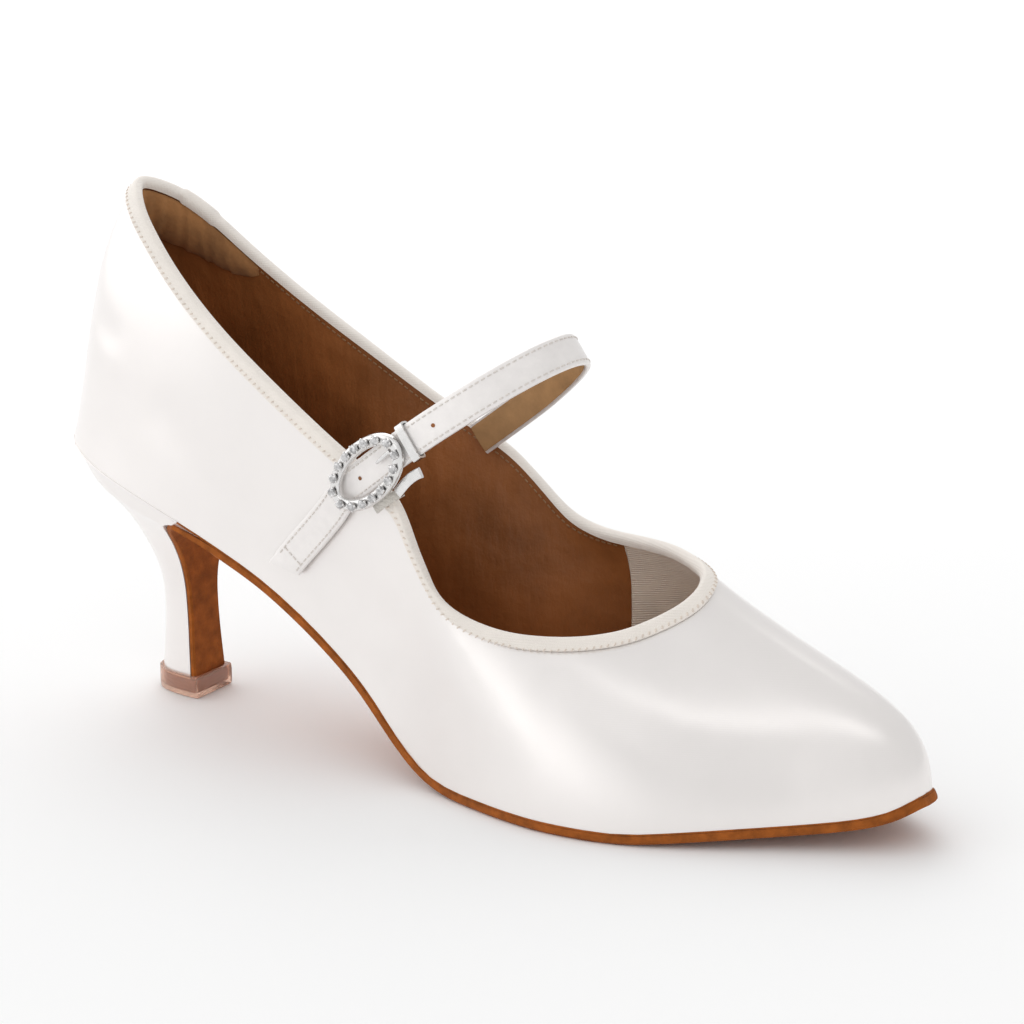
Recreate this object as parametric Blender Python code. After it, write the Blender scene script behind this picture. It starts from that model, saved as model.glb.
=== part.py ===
"""Ballroom court shoe with a flared heel and an instep strap, one shoe of a pair.

The shoe is the right one. X runs from heel to toe, Y to the wearer's inner side and Z up.
The origin is the middle of the heel tip's face on the floor.
Lengths in the tables are shares of the named sizes above them.
"""
import math
from collections import namedtuple

import bmesh
import bpy
import numpy as np

# Last: the form that upper, sole and insole share
SHOE_LENGTH = 0.2385        # rear of the counter to the tip of the toe
BALL_HALF_WIDTH = 0.037     # half the tread's width at the ball of the foot
TOE_SWING = 0.011           # how far the tip swings to the inner side
SWING_START = 0.080         # where the swing begins, from the rear
HEEL_HEIGHT = 0.0665        # edge of the seat at the rear, above the floor
TOE_SPRING = 0.0105         # lift of the tip over the ball
COLLAR_HEIGHT = 0.133       # topline at the rear, above the floor

# Upper
UPPER_WALL = 0.0015         # satin, backing and lining together
BINDING_THICK = 0.0006      # folded ribbon on the topline
BINDING_DROP = 0.0043       # how far it reaches down outside
BINDING_TURN = 0.0014       # how far it reaches down inside
GRIP_LENGTH = 0.044         # padded heel grip, from the rear to each end
GRIP_HEIGHT = 0.0152        # its height at the rear
GRIP_THICK = 0.0032         # its thickness at the rear
GRIP_END = 0.14             # thickness and height left at its ends, as a share
GRIP_POINTS = 6             # points down each face of its sections

# Bottom
SOLE_THICK = 0.0022         # suede outsole
SOLE_MARGIN = 0.0004        # how far it stands out past the upper
SOLE_CHAMFER = 0.0006       # its worn lower edge
FLAP_THICK = 0.0013         # the suede where it turns down the heel breast
FLAP_CORNER = 0.0026        # how far the flap's upper corners are cut in
FLAP_CORNER_ROWS = 5        # sections of the flap that the cut reaches down
INSOLE_THICK = 0.0020       # insole board and sock
SEAM_GAP = 0.0003           # air between pieces that meet

# Heel tip
TIP_START = 0.0048          # lower end of the covered heel, above the floor
CUP_HEIGHT = 0.0056         # clear protector
CUP_WALL = 0.0009
CUP_FLOOR = 0.0012

# Strap and buckle
STRAP_WIDTH = 0.0083
STRAP_THICK = 0.0016
STRAP_RISE = 0.0515         # arch of the strap over the instep
STRAP_SLOPE = 38.5          # degrees of the arch's plane above the floor
STRAP_BOW = 0.08            # how far the arch bows out past its feet, as a share
STRAP_CHAMFER = 0.00035
TAIL_SLANT = 0.0038         # how far one corner of the tail's end runs past the other
ROOT_DEPTH = 0.0028         # strap inside the collar, below the topline
BUCKLE_LENGTH = 0.0268
BUCKLE_WIDTH = 0.0150
BUCKLE_BAND = 0.0030
BUCKLE_THICK = 0.0014
BUCKLE_TWIST = 4.0          # degrees that the frame turns on the strap
BUCKLE_SHIFT = 0.19         # frame's middle past the crossing, as a share of the next span
STONE_COUNT = 16
STONE_WIDTH = 0.0022
STONE_HEIGHT = 0.0010
STONE_TABLE = 0.56          # flat top of a stone, as a share of its width
PRONG_LENGTH = 0.0058
PRONG_WIDTH = 0.0011
KEEPER_LENGTH = 0.0022
KEEPER_WALL = 0.0005
KEEPER_SLACK = 0.0003       # air between the keeper and the strap
HOOK_WIDTH = 0.0027
HOOK_THICK = 0.0010
TAB_WIDTH = 0.0024
TAB_THICK = 0.0009

# Plan of the tread: half widths beside the centre line, as shares of the ball's half width
PlanRow = namedtuple("PlanRow", "along outer inner")
PLAN = [
    PlanRow(0.000, 0.000, 0.000),
    PlanRow(0.021, 0.378, 0.378),
    PlanRow(0.050, 0.527, 0.527),
    PlanRow(0.105, 0.635, 0.635),
    PlanRow(0.168, 0.662, 0.662),
    PlanRow(0.230, 0.635, 0.625),
    PlanRow(0.314, 0.595, 0.514),
    PlanRow(0.398, 0.600, 0.440),
    PlanRow(0.482, 0.700, 0.490),
    PlanRow(0.566, 0.865, 0.703),
    PlanRow(0.629, 0.973, 0.892),
    PlanRow(0.671, 1.010, 0.973),
    PlanRow(0.712, 1.000, 1.000),
    PlanRow(0.755, 0.946, 0.973),
    PlanRow(0.817, 0.784, 0.838),
    PlanRow(0.880, 0.570, 0.655),
    PlanRow(0.930, 0.400, 0.470),
    PlanRow(0.970, 0.262, 0.318),
    PlanRow(0.992, 0.135, 0.168),
    PlanRow(1.000, 0.000, 0.000),
]

# Side line of the tread: arch as a share of the seat's rise, spring of the toe spring
SideRow = namedtuple("SideRow", "along arch spring")
SIDE = [
    SideRow(0.000, 1.000, 0.000),
    SideRow(0.033, 0.984, 0.000),
    SideRow(0.075, 0.942, 0.000),
    SideRow(0.118, 0.895, 0.000),
    SideRow(0.184, 0.814, 0.000),
    SideRow(0.256, 0.700, 0.000),
    SideRow(0.298, 0.622, 0.000),
    SideRow(0.348, 0.511, 0.000),
    SideRow(0.403, 0.355, 0.000),
    SideRow(0.441, 0.231, 0.000),
    SideRow(0.466, 0.142, 0.000),
    SideRow(0.491, 0.069, 0.000),
    SideRow(0.511, 0.028, 0.000),
    SideRow(0.536, 0.006, 0.000),
    SideRow(0.564, 0.000, 0.000),
    SideRow(0.745, 0.000, 0.000),
    SideRow(0.788, 0.000, 0.090),
    SideRow(0.843, 0.000, 0.230),
    SideRow(0.894, 0.000, 0.350),
    SideRow(0.944, 0.000, 0.500),
    SideRow(0.975, 0.000, 0.680),
    SideRow(1.000, 0.000, 1.000),
]

# Sections of the upper, from the rear to the tip, for each side.
# foot and top_along are shares of the length, top_out of the ball's half width and
# top_height of the collar's height. lift and drop are the two curve handles' heights as
# shares of the section's rise, swell the lower handle's reach as a share of the ball's
# half width, and reach the upper handle's as a share of the section's run in plan.
WallRow = namedtuple("WallRow", "foot top_along top_out top_height lift swell drop reach")
REAR = WallRow(0.000, 0.077, 0.000, 1.000, 0.34, 0.160, 0.27, 0.82)
OUTER = [
    WallRow(0.033, 0.100, 0.203, 0.975, 0.34, 0.150, 0.28, 0.77),
    WallRow(0.093, 0.131, 0.328, 0.930, 0.34, 0.110, 0.30, 0.64),
    WallRow(0.151, 0.178, 0.426, 0.857, 0.34, 0.080, 0.32, 0.55),
    WallRow(0.218, 0.238, 0.507, 0.779, 0.34, 0.045, 0.33, 0.44),
    WallRow(0.294, 0.310, 0.572, 0.701, 0.35, 0.050, 0.33, 0.44),
    WallRow(0.369, 0.385, 0.608, 0.622, 0.36, 0.060, 0.33, 0.46),
    WallRow(0.424, 0.438, 0.625, 0.571, 0.36, 0.070, 0.33, 0.48),
    WallRow(0.470, 0.472, 0.643, 0.534, 0.37, 0.075, 0.33, 0.50),
    WallRow(0.520, 0.497, 0.663, 0.451, 0.38, 0.075, 0.33, 0.50),
    WallRow(0.587, 0.532, 0.668, 0.365, 0.40, 0.070, 0.32, 0.50),
    WallRow(0.662, 0.592, 0.599, 0.328, 0.42, 0.060, 0.30, 0.50),
    WallRow(0.743, 0.650, 0.450, 0.323, 0.43, 0.045, 0.28, 0.50),
    WallRow(0.822, 0.692, 0.269, 0.332, 0.42, 0.035, 0.27, 0.46),
    WallRow(0.894, 0.718, 0.110, 0.351, 0.45, 0.015, 0.33, 0.45),
    WallRow(0.952, 0.736, -0.035, 0.372, 0.49, 0.001, 0.39, 0.46),
    WallRow(0.984, 0.743, -0.145, 0.388, 0.55, -0.009, 0.46, 0.50),
]
TIP = WallRow(1.000, 0.743, -0.245, 0.401, 0.57, -0.011, 0.48, 0.53)
INNER = [
    WallRow(0.033, 0.100, 0.203, 0.975, 0.34, 0.150, 0.28, 0.77),
    WallRow(0.093, 0.131, 0.328, 0.930, 0.34, 0.110, 0.30, 0.64),
    WallRow(0.151, 0.178, 0.426, 0.857, 0.34, 0.080, 0.32, 0.55),
    WallRow(0.218, 0.238, 0.513, 0.779, 0.34, 0.050, 0.33, 0.44),
    WallRow(0.294, 0.310, 0.580, 0.701, 0.36, 0.070, 0.33, 0.44),
    WallRow(0.369, 0.385, 0.643, 0.622, 0.38, 0.090, 0.33, 0.46),
    WallRow(0.424, 0.440, 0.675, 0.573, 0.38, 0.100, 0.33, 0.48),
    WallRow(0.474, 0.476, 0.702, 0.536, 0.38, 0.110, 0.33, 0.50),
    WallRow(0.528, 0.507, 0.721, 0.489, 0.39, 0.110, 0.33, 0.50),
    WallRow(0.596, 0.543, 0.734, 0.435, 0.40, 0.090, 0.32, 0.50),
    WallRow(0.671, 0.583, 0.729, 0.415, 0.42, 0.070, 0.28, 0.50),
    WallRow(0.747, 0.629, 0.694, 0.416, 0.48, 0.043, 0.29, 0.50),
    WallRow(0.826, 0.668, 0.618, 0.421, 0.52, 0.024, 0.32, 0.50),
    WallRow(0.898, 0.698, 0.526, 0.422, 0.55, 0.011, 0.38, 0.51),
    WallRow(0.956, 0.722, 0.440, 0.418, 0.57, -0.001, 0.44, 0.51),
    WallRow(0.984, 0.736, 0.350, 0.411, 0.58, -0.009, 0.47, 0.53),
]

# Heel: rear and breast lines from the tip up to the seat. rear and breast are shares of the
# seat's depth, the heights shares of the covered heel's height, half of the ball's half width.
SEAT_DEPTH = 0.044          # rear of the shoe to the top of the breast
LIP_REACH = 0.013           # wedge of the heel's cover that runs on past the breast
LIP_THICK = 0.0012          # its thickness at the breast
LIP_FILL = 0.8              # share of the reach that the heel fills, so its end stays clear
HeelRow = namedtuple("HeelRow", "rear rear_height breast breast_height half")
HEEL = [
    HeelRow(0.515, 0.000, 0.832, 0.000, 0.172),
    HeelRow(0.529, 0.138, 0.818, 0.143, 0.158),
    HeelRow(0.539, 0.267, 0.809, 0.267, 0.150),
    HeelRow(0.532, 0.375, 0.802, 0.375, 0.154),
    HeelRow(0.503, 0.466, 0.800, 0.472, 0.184),
    HeelRow(0.438, 0.574, 0.808, 0.562, 0.255),
    HeelRow(0.368, 0.693, 0.838, 0.642, 0.375),
    HeelRow(0.262, 0.817, 0.895, 0.706, 0.530),
    HeelRow(0.140, 0.908, 0.960, 0.738, 0.640),
]

# Where the strap's tail lies on the outer quarter: number of the upper's row, counted round
# from the rear, and the place from the edge of the tread up to the topline.
SeatRow = namedtuple("SeatRow", "row rise")
TAIL = [SeatRow(5.38, 0.13), SeatRow(5.63, 0.31), SeatRow(5.92, 0.50), SeatRow(6.24, 0.69),
        SeatRow(6.56, 0.86)]
CROSSING = SeatRow(7.02, 1.00)
ROOT = SeatRow(26.74, 1.00)
ARCH_FOOT = 20.0            # degrees of the half ellipse left off at each foot of the arch
ARCH_STEPS = 11

# The hook beside the frame, from the keeper to the elastic: places from the frame's middle
# along and across the strap, as shares of the frame's length and width.
HookRow = namedtuple("HookRow", "along across")
HOOK = [HookRow(0.500, 0.500), HookRow(0.420, 0.480), HookRow(0.330, 0.485),
        HookRow(0.240, 0.510), HookRow(0.150, 0.545)]
TAB_END = SeatRow(7.44, 0.90)

Piece = namedtuple("Piece", "colour roughness metallic")
FINISH = {
    "satin": Piece((0.88, 0.86, 0.84), 0.35, 0.0),
    "ribbon": Piece((0.90, 0.85, 0.78), 0.55, 0.0),
    "lining": Piece((0.20, 0.10, 0.05), 0.60, 0.0),
    "suede": Piece((0.32, 0.12, 0.03), 0.95, 0.0),
    "grip": Piece((0.26, 0.15, 0.07), 0.90, 0.0),
    "lift": Piece((0.34, 0.17, 0.09), 0.50, 0.0),
    "clear": Piece((0.85, 0.78, 0.74), 0.10, 0.0),
    "metal": Piece((0.72, 0.72, 0.74), 0.22, 1.0),
    "stone": Piece((0.80, 0.82, 0.86), 0.05, 0.0),
    "elastic": Piece((0.75, 0.74, 0.74), 0.60, 0.0),
}


def slopes(xs, ys):
    """Slopes of a smooth curve through the points that never overshoots them."""
    step = np.diff(xs)
    rate = np.diff(ys) / step
    out = np.zeros(len(xs))
    out[0], out[-1] = rate[0], rate[-1]
    for i in range(1, len(xs) - 1):
        if rate[i - 1] * rate[i] > 0:
            a, b = 2 * step[i] + step[i - 1], step[i] + 2 * step[i - 1]
            out[i] = (a + b) / (a / rate[i - 1] + b / rate[i])
    return out


def smooth(xs, ys, x):
    """Value at x of the smooth curve through the points."""
    xs, ys = np.asarray(xs, float), np.asarray(ys, float)
    m = slopes(xs, ys)
    x = np.clip(x, xs[0], xs[-1])
    i = np.clip(np.searchsorted(xs, x) - 1, 0, len(xs) - 2)
    h = xs[i + 1] - xs[i]
    t = (x - xs[i]) / h
    return (ys[i] * (1 + 2 * t) * (1 - t) ** 2 + ys[i + 1] * t * t * (3 - 2 * t)
            + h * (m[i] * t * (1 - t) ** 2 - m[i + 1] * t * t * (1 - t)))


def column(rows, name):
    return [getattr(row, name) for row in rows]


def unit(v):
    return v / np.linalg.norm(v, axis=-1, keepdims=True)


def tip_centre():
    """Distance from the rear of the shoe to the middle of the heel tip."""
    return SEAT_DEPTH * (HEEL[0].rear + HEEL[0].breast) / 2


def centre_line(x):
    share = np.clip((x - SWING_START) / (SHOE_LENGTH - SWING_START), 0, None)
    return TOE_SWING * share ** 1.2


def half_width(x, side):
    """Half the tread's width; its square is what runs smoothly, so both ends are round."""
    name = "outer" if side < 0 else "inner"
    squares = [value * value for value in column(PLAN, name)]
    square = smooth(column(PLAN, "along"), squares, x / SHOE_LENGTH)
    return BALL_HALF_WIDTH * np.sqrt(np.clip(square, 0, None))


def base_height():
    """Height of the upper's lower edge over the flat of the tread."""
    return SOLE_THICK + SEAM_GAP


def feather_height(x):
    """Height of the upper's lower edge, which depends on the place along the shoe alone."""
    along = column(SIDE, "along")
    arch = smooth(along, column(SIDE, "arch"), x / SHOE_LENGTH)
    spring = smooth(along, column(SIDE, "spring"), x / SHOE_LENGTH)
    return base_height() + (HEEL_HEIGHT - base_height()) * arch + TOE_SPRING * spring


class Upper:
    """The last's surface as sections that run from the tread's edge to the topline."""

    def __init__(self):
        self.rows = [REAR] + OUTER + [TIP] + INNER[::-1]
        self.sides = [0] + [-1] * len(OUTER) + [0] + [1] * len(INNER)
        self.count = len(self.rows)
        self.tip = len(OUTER) + 1
        self.table = np.array([tuple(row) for row in self.rows])
        for i, side in enumerate(self.sides):
            if side:
                self.table[i, 2] *= side
            else:
                self.table[i, 2] *= -1

    def row(self, u):
        """Row of the table at a place u round the loop, with u the row's number."""
        i = np.floor(u).astype(int)
        t = (u - i)[..., None]
        p0, p1, p2, p3 = (self.table[(i + k) % self.count] for k in (-1, 0, 1, 2))
        return (p1 + 0.5 * t * (p2 - p0 + t * (2 * p0 - 5 * p1 + 4 * p2 - p3
                + t * (3 * (p1 - p2) + p3 - p0))))

    def foot(self, u):
        """Point of the tread's edge below a place round the loop."""
        u = np.mod(u, self.count)
        x = np.clip(self.row(u)[..., 0], 0, 1) * SHOE_LENGTH
        side = np.where(u < self.tip, -1.0, 1.0)
        width = np.where(side < 0, half_width(x, -1), half_width(x, 1))
        return np.stack([x, centre_line(x) + side * width, feather_height(x)], -1)

    def handles(self, u):
        u = np.mod(np.asarray(u, float), self.count)
        row = self.row(u)
        foot = self.foot(u)
        top = np.stack([row[..., 1] * SHOE_LENGTH, row[..., 2] * BALL_HALF_WIDTH,
                        row[..., 3] * COLLAR_HEIGHT], -1)
        along = self.foot(u + 0.02) - self.foot(u - 0.02)
        out = unit(np.stack([along[..., 1], -along[..., 0], 0 * u], -1))
        rise = (top - foot)[..., 2:3]
        run = (foot - top) * (1, 1, 0)
        up = np.array([0, 0, 1.0])
        lift, swell, drop, reach = (row[..., k, None] for k in (4, 5, 6, 7))
        lower = foot + up * lift * rise - out * swell * BALL_HALF_WIDTH
        upper = top + run * reach - up * drop * rise
        return foot, lower, upper, top

    def at(self, u, t, offset=0.0):
        """Point of the surface, t from the edge up, moved outwards by the offset."""
        u, t = np.broadcast_arrays(np.asarray(u, float), np.asarray(t, float))
        point = self.bare(u, t)
        if np.any(offset):
            point = point + self.normal(u, t) * np.asarray(offset)[..., None]
        return point

    def bare(self, u, t):
        a, b, c, d = self.handles(u)
        t = t[..., None]
        return (a * (1 - t) ** 3 + 3 * b * t * (1 - t) ** 2 + 3 * c * t * t * (1 - t)
                + d * t ** 3)

    def climb(self, u, t):
        """Change of the point for each unit of t."""
        step = 0.01
        return (self.bare(u, t + step) - self.bare(u, t - step)) / (2 * step)

    def normal(self, u, t):
        step = 0.02
        along = self.bare(u + step, t) - self.bare(u - step, t)
        return unit(np.cross(along, self.climb(u, t)))

    def below_top(self, u, distance):
        """The value of t that lies a distance below the topline."""
        u = np.asarray(u, float)
        speed = np.linalg.norm(self.climb(u, np.full(u.shape, 0.985)), axis=-1)
        return 1 - distance / speed


LAST = Upper()


def to_frame(points):
    """From distances behind the rear of the shoe to the part's own frame."""
    return np.asarray(points, float) - (tip_centre(), 0, 0)


def build(name, rings, finish, closed=False, angle=35.0):
    """One solid through rings of equally many points, capped unless the rings close."""
    mesh = bmesh.new()
    loops = [[mesh.verts.new(p) for p in to_frame(ring)] for ring in rings]
    pairs = list(zip(loops, loops[1:]))
    if closed:
        pairs.append((loops[-1], loops[0]))
    for low, high in pairs:
        for i in range(len(low)):
            j = (i + 1) % len(low)
            mesh.faces.new((low[i], low[j], high[j], high[i]))
    if not closed:
        mesh.faces.new(loops[0][::-1])
        mesh.faces.new(loops[-1])
    return finish_mesh(name, mesh, finish, angle)


def finish_mesh(name, mesh, finish, angle=35.0):
    bmesh.ops.triangulate(mesh, faces=mesh.faces[:])
    bmesh.ops.recalc_face_normals(mesh, faces=mesh.faces[:])
    if mesh.calc_volume(signed=True) < 0:
        bmesh.ops.reverse_faces(mesh, faces=mesh.faces[:])
    data = bpy.data.meshes.new(name)
    mesh.to_mesh(data)
    mesh.free()
    data.shade_smooth()
    data.set_sharp_from_angle(angle=math.radians(angle))
    look = FINISH[finish]
    material = bpy.data.materials.new(name)
    material.use_nodes = True
    shader = material.node_tree.nodes["Principled BSDF"]
    shader.inputs["Base Color"].default_value = (*look.colour, 1.0)
    shader.inputs["Roughness"].default_value = look.roughness
    shader.inputs["Metallic"].default_value = look.metallic
    data.materials.append(material)
    item = bpy.data.objects.new(name, data)
    bpy.context.scene.collection.objects.link(item)
    return item


def round_loop(per_row=3):
    """Places round the loop, a few for each row of the table."""
    return np.arange(LAST.count * per_row) / per_row


def inset_edge(x, side, inset):
    """Y of the tread's edge moved inwards, at a distance x from the rear."""
    half = LAST.tip
    end = half if side < 0 else LAST.count - half
    u = np.linspace(0, end, 500) if side < 0 else LAST.count - np.linspace(0, end, 500)
    points = LAST.foot(u)
    along = LAST.foot(u + 0.02) - LAST.foot(u - 0.02)
    out = unit(np.stack([-along[:, 1], along[:, 0]], -1))
    moved = points[:, :2] + out * inset
    order = np.argsort(moved[:, 0])
    return np.interp(x, moved[order, 0], moved[order, 1])


def spread(start, end, count):
    """Places from start to end, closer together near both."""
    return start + (end - start) * (1 - np.cos(np.linspace(0, math.pi, count))) / 2


def make_upper():
    u = round_loop()
    top = LAST.below_top(u, BINDING_THICK + SEAM_GAP)
    levels = np.linspace(0, 1, 10)
    rings = [LAST.at(u, top * t) for t in levels]
    for t in levels[::-1]:
        ring = LAST.at(u, top * t, -UPPER_WALL)
        if t == 0:
            foot = LAST.foot(u)
            along = LAST.foot(u + 0.02) - LAST.foot(u - 0.02)
            inward = unit(np.stack([-along[:, 1], along[:, 0], 0 * u], -1))
            ring = foot + inward * UPPER_WALL
            ring[:, 2] = feather_height(ring[:, 0])
        rings.append(ring)
    return build("upper", rings, "satin", closed=True)


def make_binding():
    """Ribbon folded over the upper's edge, as a channel that is open below."""
    u = round_loop()
    edge = LAST.below_top(u, BINDING_THICK + SEAM_GAP)
    low = LAST.below_top(u, BINDING_DROP)
    turn = LAST.below_top(u, BINDING_TURN + BINDING_THICK)
    above = LAST.below_top(u, BINDING_THICK)
    outer = SEAM_GAP + BINDING_THICK
    inner = -(UPPER_WALL + SEAM_GAP + BINDING_THICK)
    rings = [
        LAST.at(u, low, outer),
        LAST.at(u, edge, outer),
        LAST.at(u, np.ones(u.shape), outer * 0.35),
        LAST.at(u, np.ones(u.shape), inner * 0.75),
        LAST.at(u, turn, inner),
        LAST.at(u, turn, -(UPPER_WALL + SEAM_GAP)),
        LAST.at(u, above, -(UPPER_WALL + SEAM_GAP)),
        LAST.at(u, above, SEAM_GAP),
        LAST.at(u, low, SEAM_GAP),
    ]
    return build("topline_binding", rings, "ribbon", closed=True)


def make_grip():
    """Padded crescent inside the rear of the collar, thickest and highest at the middle."""
    reach = np.interp(GRIP_LENGTH, SHOE_LENGTH * LAST.table[:LAST.tip, 1], np.arange(LAST.tip))
    across = np.linspace(-1, 1, 21)
    u = across * reach
    taper = np.sqrt(np.clip(1 - across ** 2, GRIP_END ** 2, None))
    top = LAST.below_top(u, BINDING_TURN + BINDING_THICK + 2 * SEAM_GAP)
    low = LAST.below_top(u, BINDING_TURN + BINDING_THICK + 3 * SEAM_GAP
                         + GRIP_HEIGHT * (0.02 + 0.98 * taper))
    back = -(UPPER_WALL + SEAM_GAP)
    sections = []
    for i in range(len(u)):
        arc = np.linspace(0, 1, GRIP_POINTS)
        t = top[i] + (low[i] - top[i]) * arc
        thick = GRIP_THICK * taper[i] * (0.25 + 0.75 * np.sin(math.pi * arc) ** 0.7)
        place = np.full(GRIP_POINTS, u[i])
        face = LAST.at(place, t, back - thick)
        wall = LAST.at(place, t[::-1], np.full(GRIP_POINTS, back))
        sections.append(np.concatenate([face, wall]))
    return build("heel_grip", sections, "grip")


def flat_piece(x, inset, lower, upper):
    """Rings across the tread between a lower and an upper height above its edge."""
    rings = []
    for place in x:
        y = [float(inset_edge(place, side, inset)) for side in (-1, 1)]
        z = feather_height(place)
        rings.append([(place, y[0], z + upper), (place, y[1], z + upper),
                      (place, y[1], z + lower), (place, y[0], z + lower)])
    return rings


def make_insole():
    inset = UPPER_WALL + 3 * SEAM_GAP
    x = spread(inset + SEAM_GAP, SHOE_LENGTH - inset - SEAM_GAP, 46)
    return build("insole", flat_piece(x, inset, 0, INSOLE_THICK), "lining")


def heel_level(share):
    """Height above the floor of a share of the covered heel."""
    return TIP_START + share * (HEEL_HEIGHT - TIP_START)


def breast_line():
    """Outer face of the suede on the heel breast, from the seat down: x, z, half width."""
    rows = HEEL[::-1]
    place = np.linspace(0, len(rows) - 1, 2 * len(rows) - 1)
    number = np.arange(len(rows))
    x = smooth(number, column(rows, "breast"), place) * SEAT_DEPTH
    z = heel_level(smooth(number, column(rows, "breast_height"), place))
    half = smooth(number, column(rows, "half"), place) * BALL_HALF_WIDTH
    return x, z, half


def lip(x):
    """Share of the wedge that is left at a distance from the rear."""
    return np.clip((SEAT_DEPTH + LIP_REACH - x) / LIP_REACH, 0, 1)


def sole_under(x):
    """Point of the outsole's lower face and of its upper face at a distance from the rear."""
    step = 0.0005
    slope = (feather_height(x + step) - feather_height(x - step)) / (2 * step)
    down = np.array([slope, -1.0]) / math.hypot(slope, 1)
    upper = np.array([x, feather_height(x) - SEAM_GAP - LIP_THICK * lip(x)])
    thick = SOLE_THICK - (SOLE_THICK - FLAP_THICK) * lip(x)
    return upper + down * thick, upper


def make_outsole():
    """Suede from the tip of the toe to the seat, where it turns down the heel breast."""
    rings = []
    tip = SHOE_LENGTH + SOLE_MARGIN
    fold = SEAT_DEPTH + FLAP_THICK
    for place in spread(tip - SEAM_GAP, fold, 50):
        lower, upper = sole_under(min(place, SHOE_LENGTH - SEAM_GAP))
        shift = place - min(place, SHOE_LENGTH - SEAM_GAP)
        y = [float(inset_edge(place, side, -SOLE_MARGIN)) for side in (-1, 1)]
        cut = min(SOLE_CHAMFER, (y[1] - y[0]) / 4)
        mid = lower + (upper - lower) * SOLE_CHAMFER / SOLE_THICK
        rings.append([(upper[0] + shift, y[0], upper[1]), (upper[0] + shift, y[1], upper[1]),
                      (mid[0] + shift, y[1], mid[1]), (lower[0] + shift, y[1] - cut, lower[1]),
                      (lower[0] + shift, y[0] + cut, lower[1]), (mid[0] + shift, y[0], mid[1])])
    x, z, half = breast_line()
    reach = np.clip(1 - np.arange(len(x)) / FLAP_CORNER_ROWS, 0, 1)
    half = half - FLAP_CORNER * reach ** 2
    for i in range(len(x)):
        back = flap_normal(x, z, i)
        cut = FLAP_THICK / 3
        for_face = (x[i], z[i])
        inner = (x[i] + back[0] * FLAP_THICK, z[i] + back[1] * FLAP_THICK)
        mid = (x[i] + back[0] * cut, z[i] + back[1] * cut)
        rings.append([(inner[0], -half[i], inner[1]), (inner[0], half[i], inner[1]),
                      (mid[0], half[i], mid[1]), (for_face[0], half[i] - cut, for_face[1]),
                      (for_face[0], cut - half[i], for_face[1]), (mid[0], -half[i], mid[1])])
    return build("outsole", rings, "suede")


def flap_normal(x, z, i):
    """Direction from the flap's face into the heel."""
    a, b = max(i - 1, 0), min(i + 1, len(x) - 1)
    along = np.array([x[b] - x[a], z[b] - z[a]])
    return np.array([along[1], -along[0]]) / np.linalg.norm(along)


def heel_outline(points=9):
    """Places from the rear to the breast and the seat's half width there, as shares."""
    share = 1 - np.cos(np.linspace(0, math.pi / 2, points))
    return share, half_width(share * SEAT_DEPTH, -1) / half_width(SEAT_DEPTH, -1)


def heel_section(rear, front, half, outset=0.0):
    """One section of the heel: flat at the breast and round at the rear."""
    share, shape = heel_outline()
    x = rear[0] - outset + (front[0] - rear[0] + 2 * outset) * share
    z = rear[1] + (front[1] - rear[1]) * share
    y = (half + outset) * shape
    ring = [(x[i], -y[i], z[i]) for i in range(len(x) - 1, 0, -1)]
    return ring + [(x[i], y[i], z[i]) for i in range(len(x))]


def make_heel():
    x, z, half = breast_line()
    number = np.arange(len(HEEL))
    place = np.linspace(0, len(HEEL) - 1, 2 * len(HEEL) - 1)
    rear_x = smooth(number, column(HEEL, "rear"), place) * SEAT_DEPTH
    rear_z = heel_level(smooth(number, column(HEEL, "rear_height"), place))
    rings = []
    depth = FLAP_THICK + SEAM_GAP
    for i in range(len(place)):
        j = len(place) - 1 - i
        back = flap_normal(x, z, j) * depth
        front = (x[j] + back[0], z[j] + back[1])
        rings.append(heel_section((rear_x[i], rear_z[i]), front, half[j]))
    share, _ = heel_outline()
    seat_end = SEAT_DEPTH + FLAP_THICK
    seat_rear = rings[-1][len(share) - 1]
    ledge = (seat_rear[0] / 2, (seat_rear[2] + feather_height(0)) / 2)
    under = (seat_end, sole_under(seat_end)[1][1] + SEAM_GAP)
    rings.append(heel_section(ledge, under, (half[0] + half_width(SEAT_DEPTH, -1)) / 2))
    seat_x = share * (SEAT_DEPTH + LIP_REACH * LIP_FILL)
    seat_y = half_width(seat_x, -1)
    seat_z = feather_height(seat_x) - SEAM_GAP
    seat = [(seat_x[i], -seat_y[i], seat_z[i]) for i in range(len(share) - 1, 0, -1)]
    rings.append(seat + [(seat_x[i], seat_y[i], seat_z[i]) for i in range(len(share))])
    return build("heel", rings, "satin")


def tip_ring(height, outset):
    row = HEEL[0]
    rear = (row.rear * SEAT_DEPTH, height)
    front = (row.breast * SEAT_DEPTH, height)
    return heel_section(rear, front, row.half * BALL_HALF_WIDTH, outset)


def make_tip():
    """Heel lift and the clear cup pushed over it."""
    lift = [tip_ring(CUP_FLOOR + SEAM_GAP, 0), tip_ring(TIP_START - SEAM_GAP, 0)]
    build("top_piece", lift, "lift")
    outset = SEAM_GAP + CUP_WALL
    cup = [tip_ring(0, outset), tip_ring(CUP_HEIGHT, outset),
           tip_ring(CUP_HEIGHT, SEAM_GAP), tip_ring(CUP_FLOOR, SEAM_GAP)]
    build("heel_protector", cup, "clear")


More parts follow.
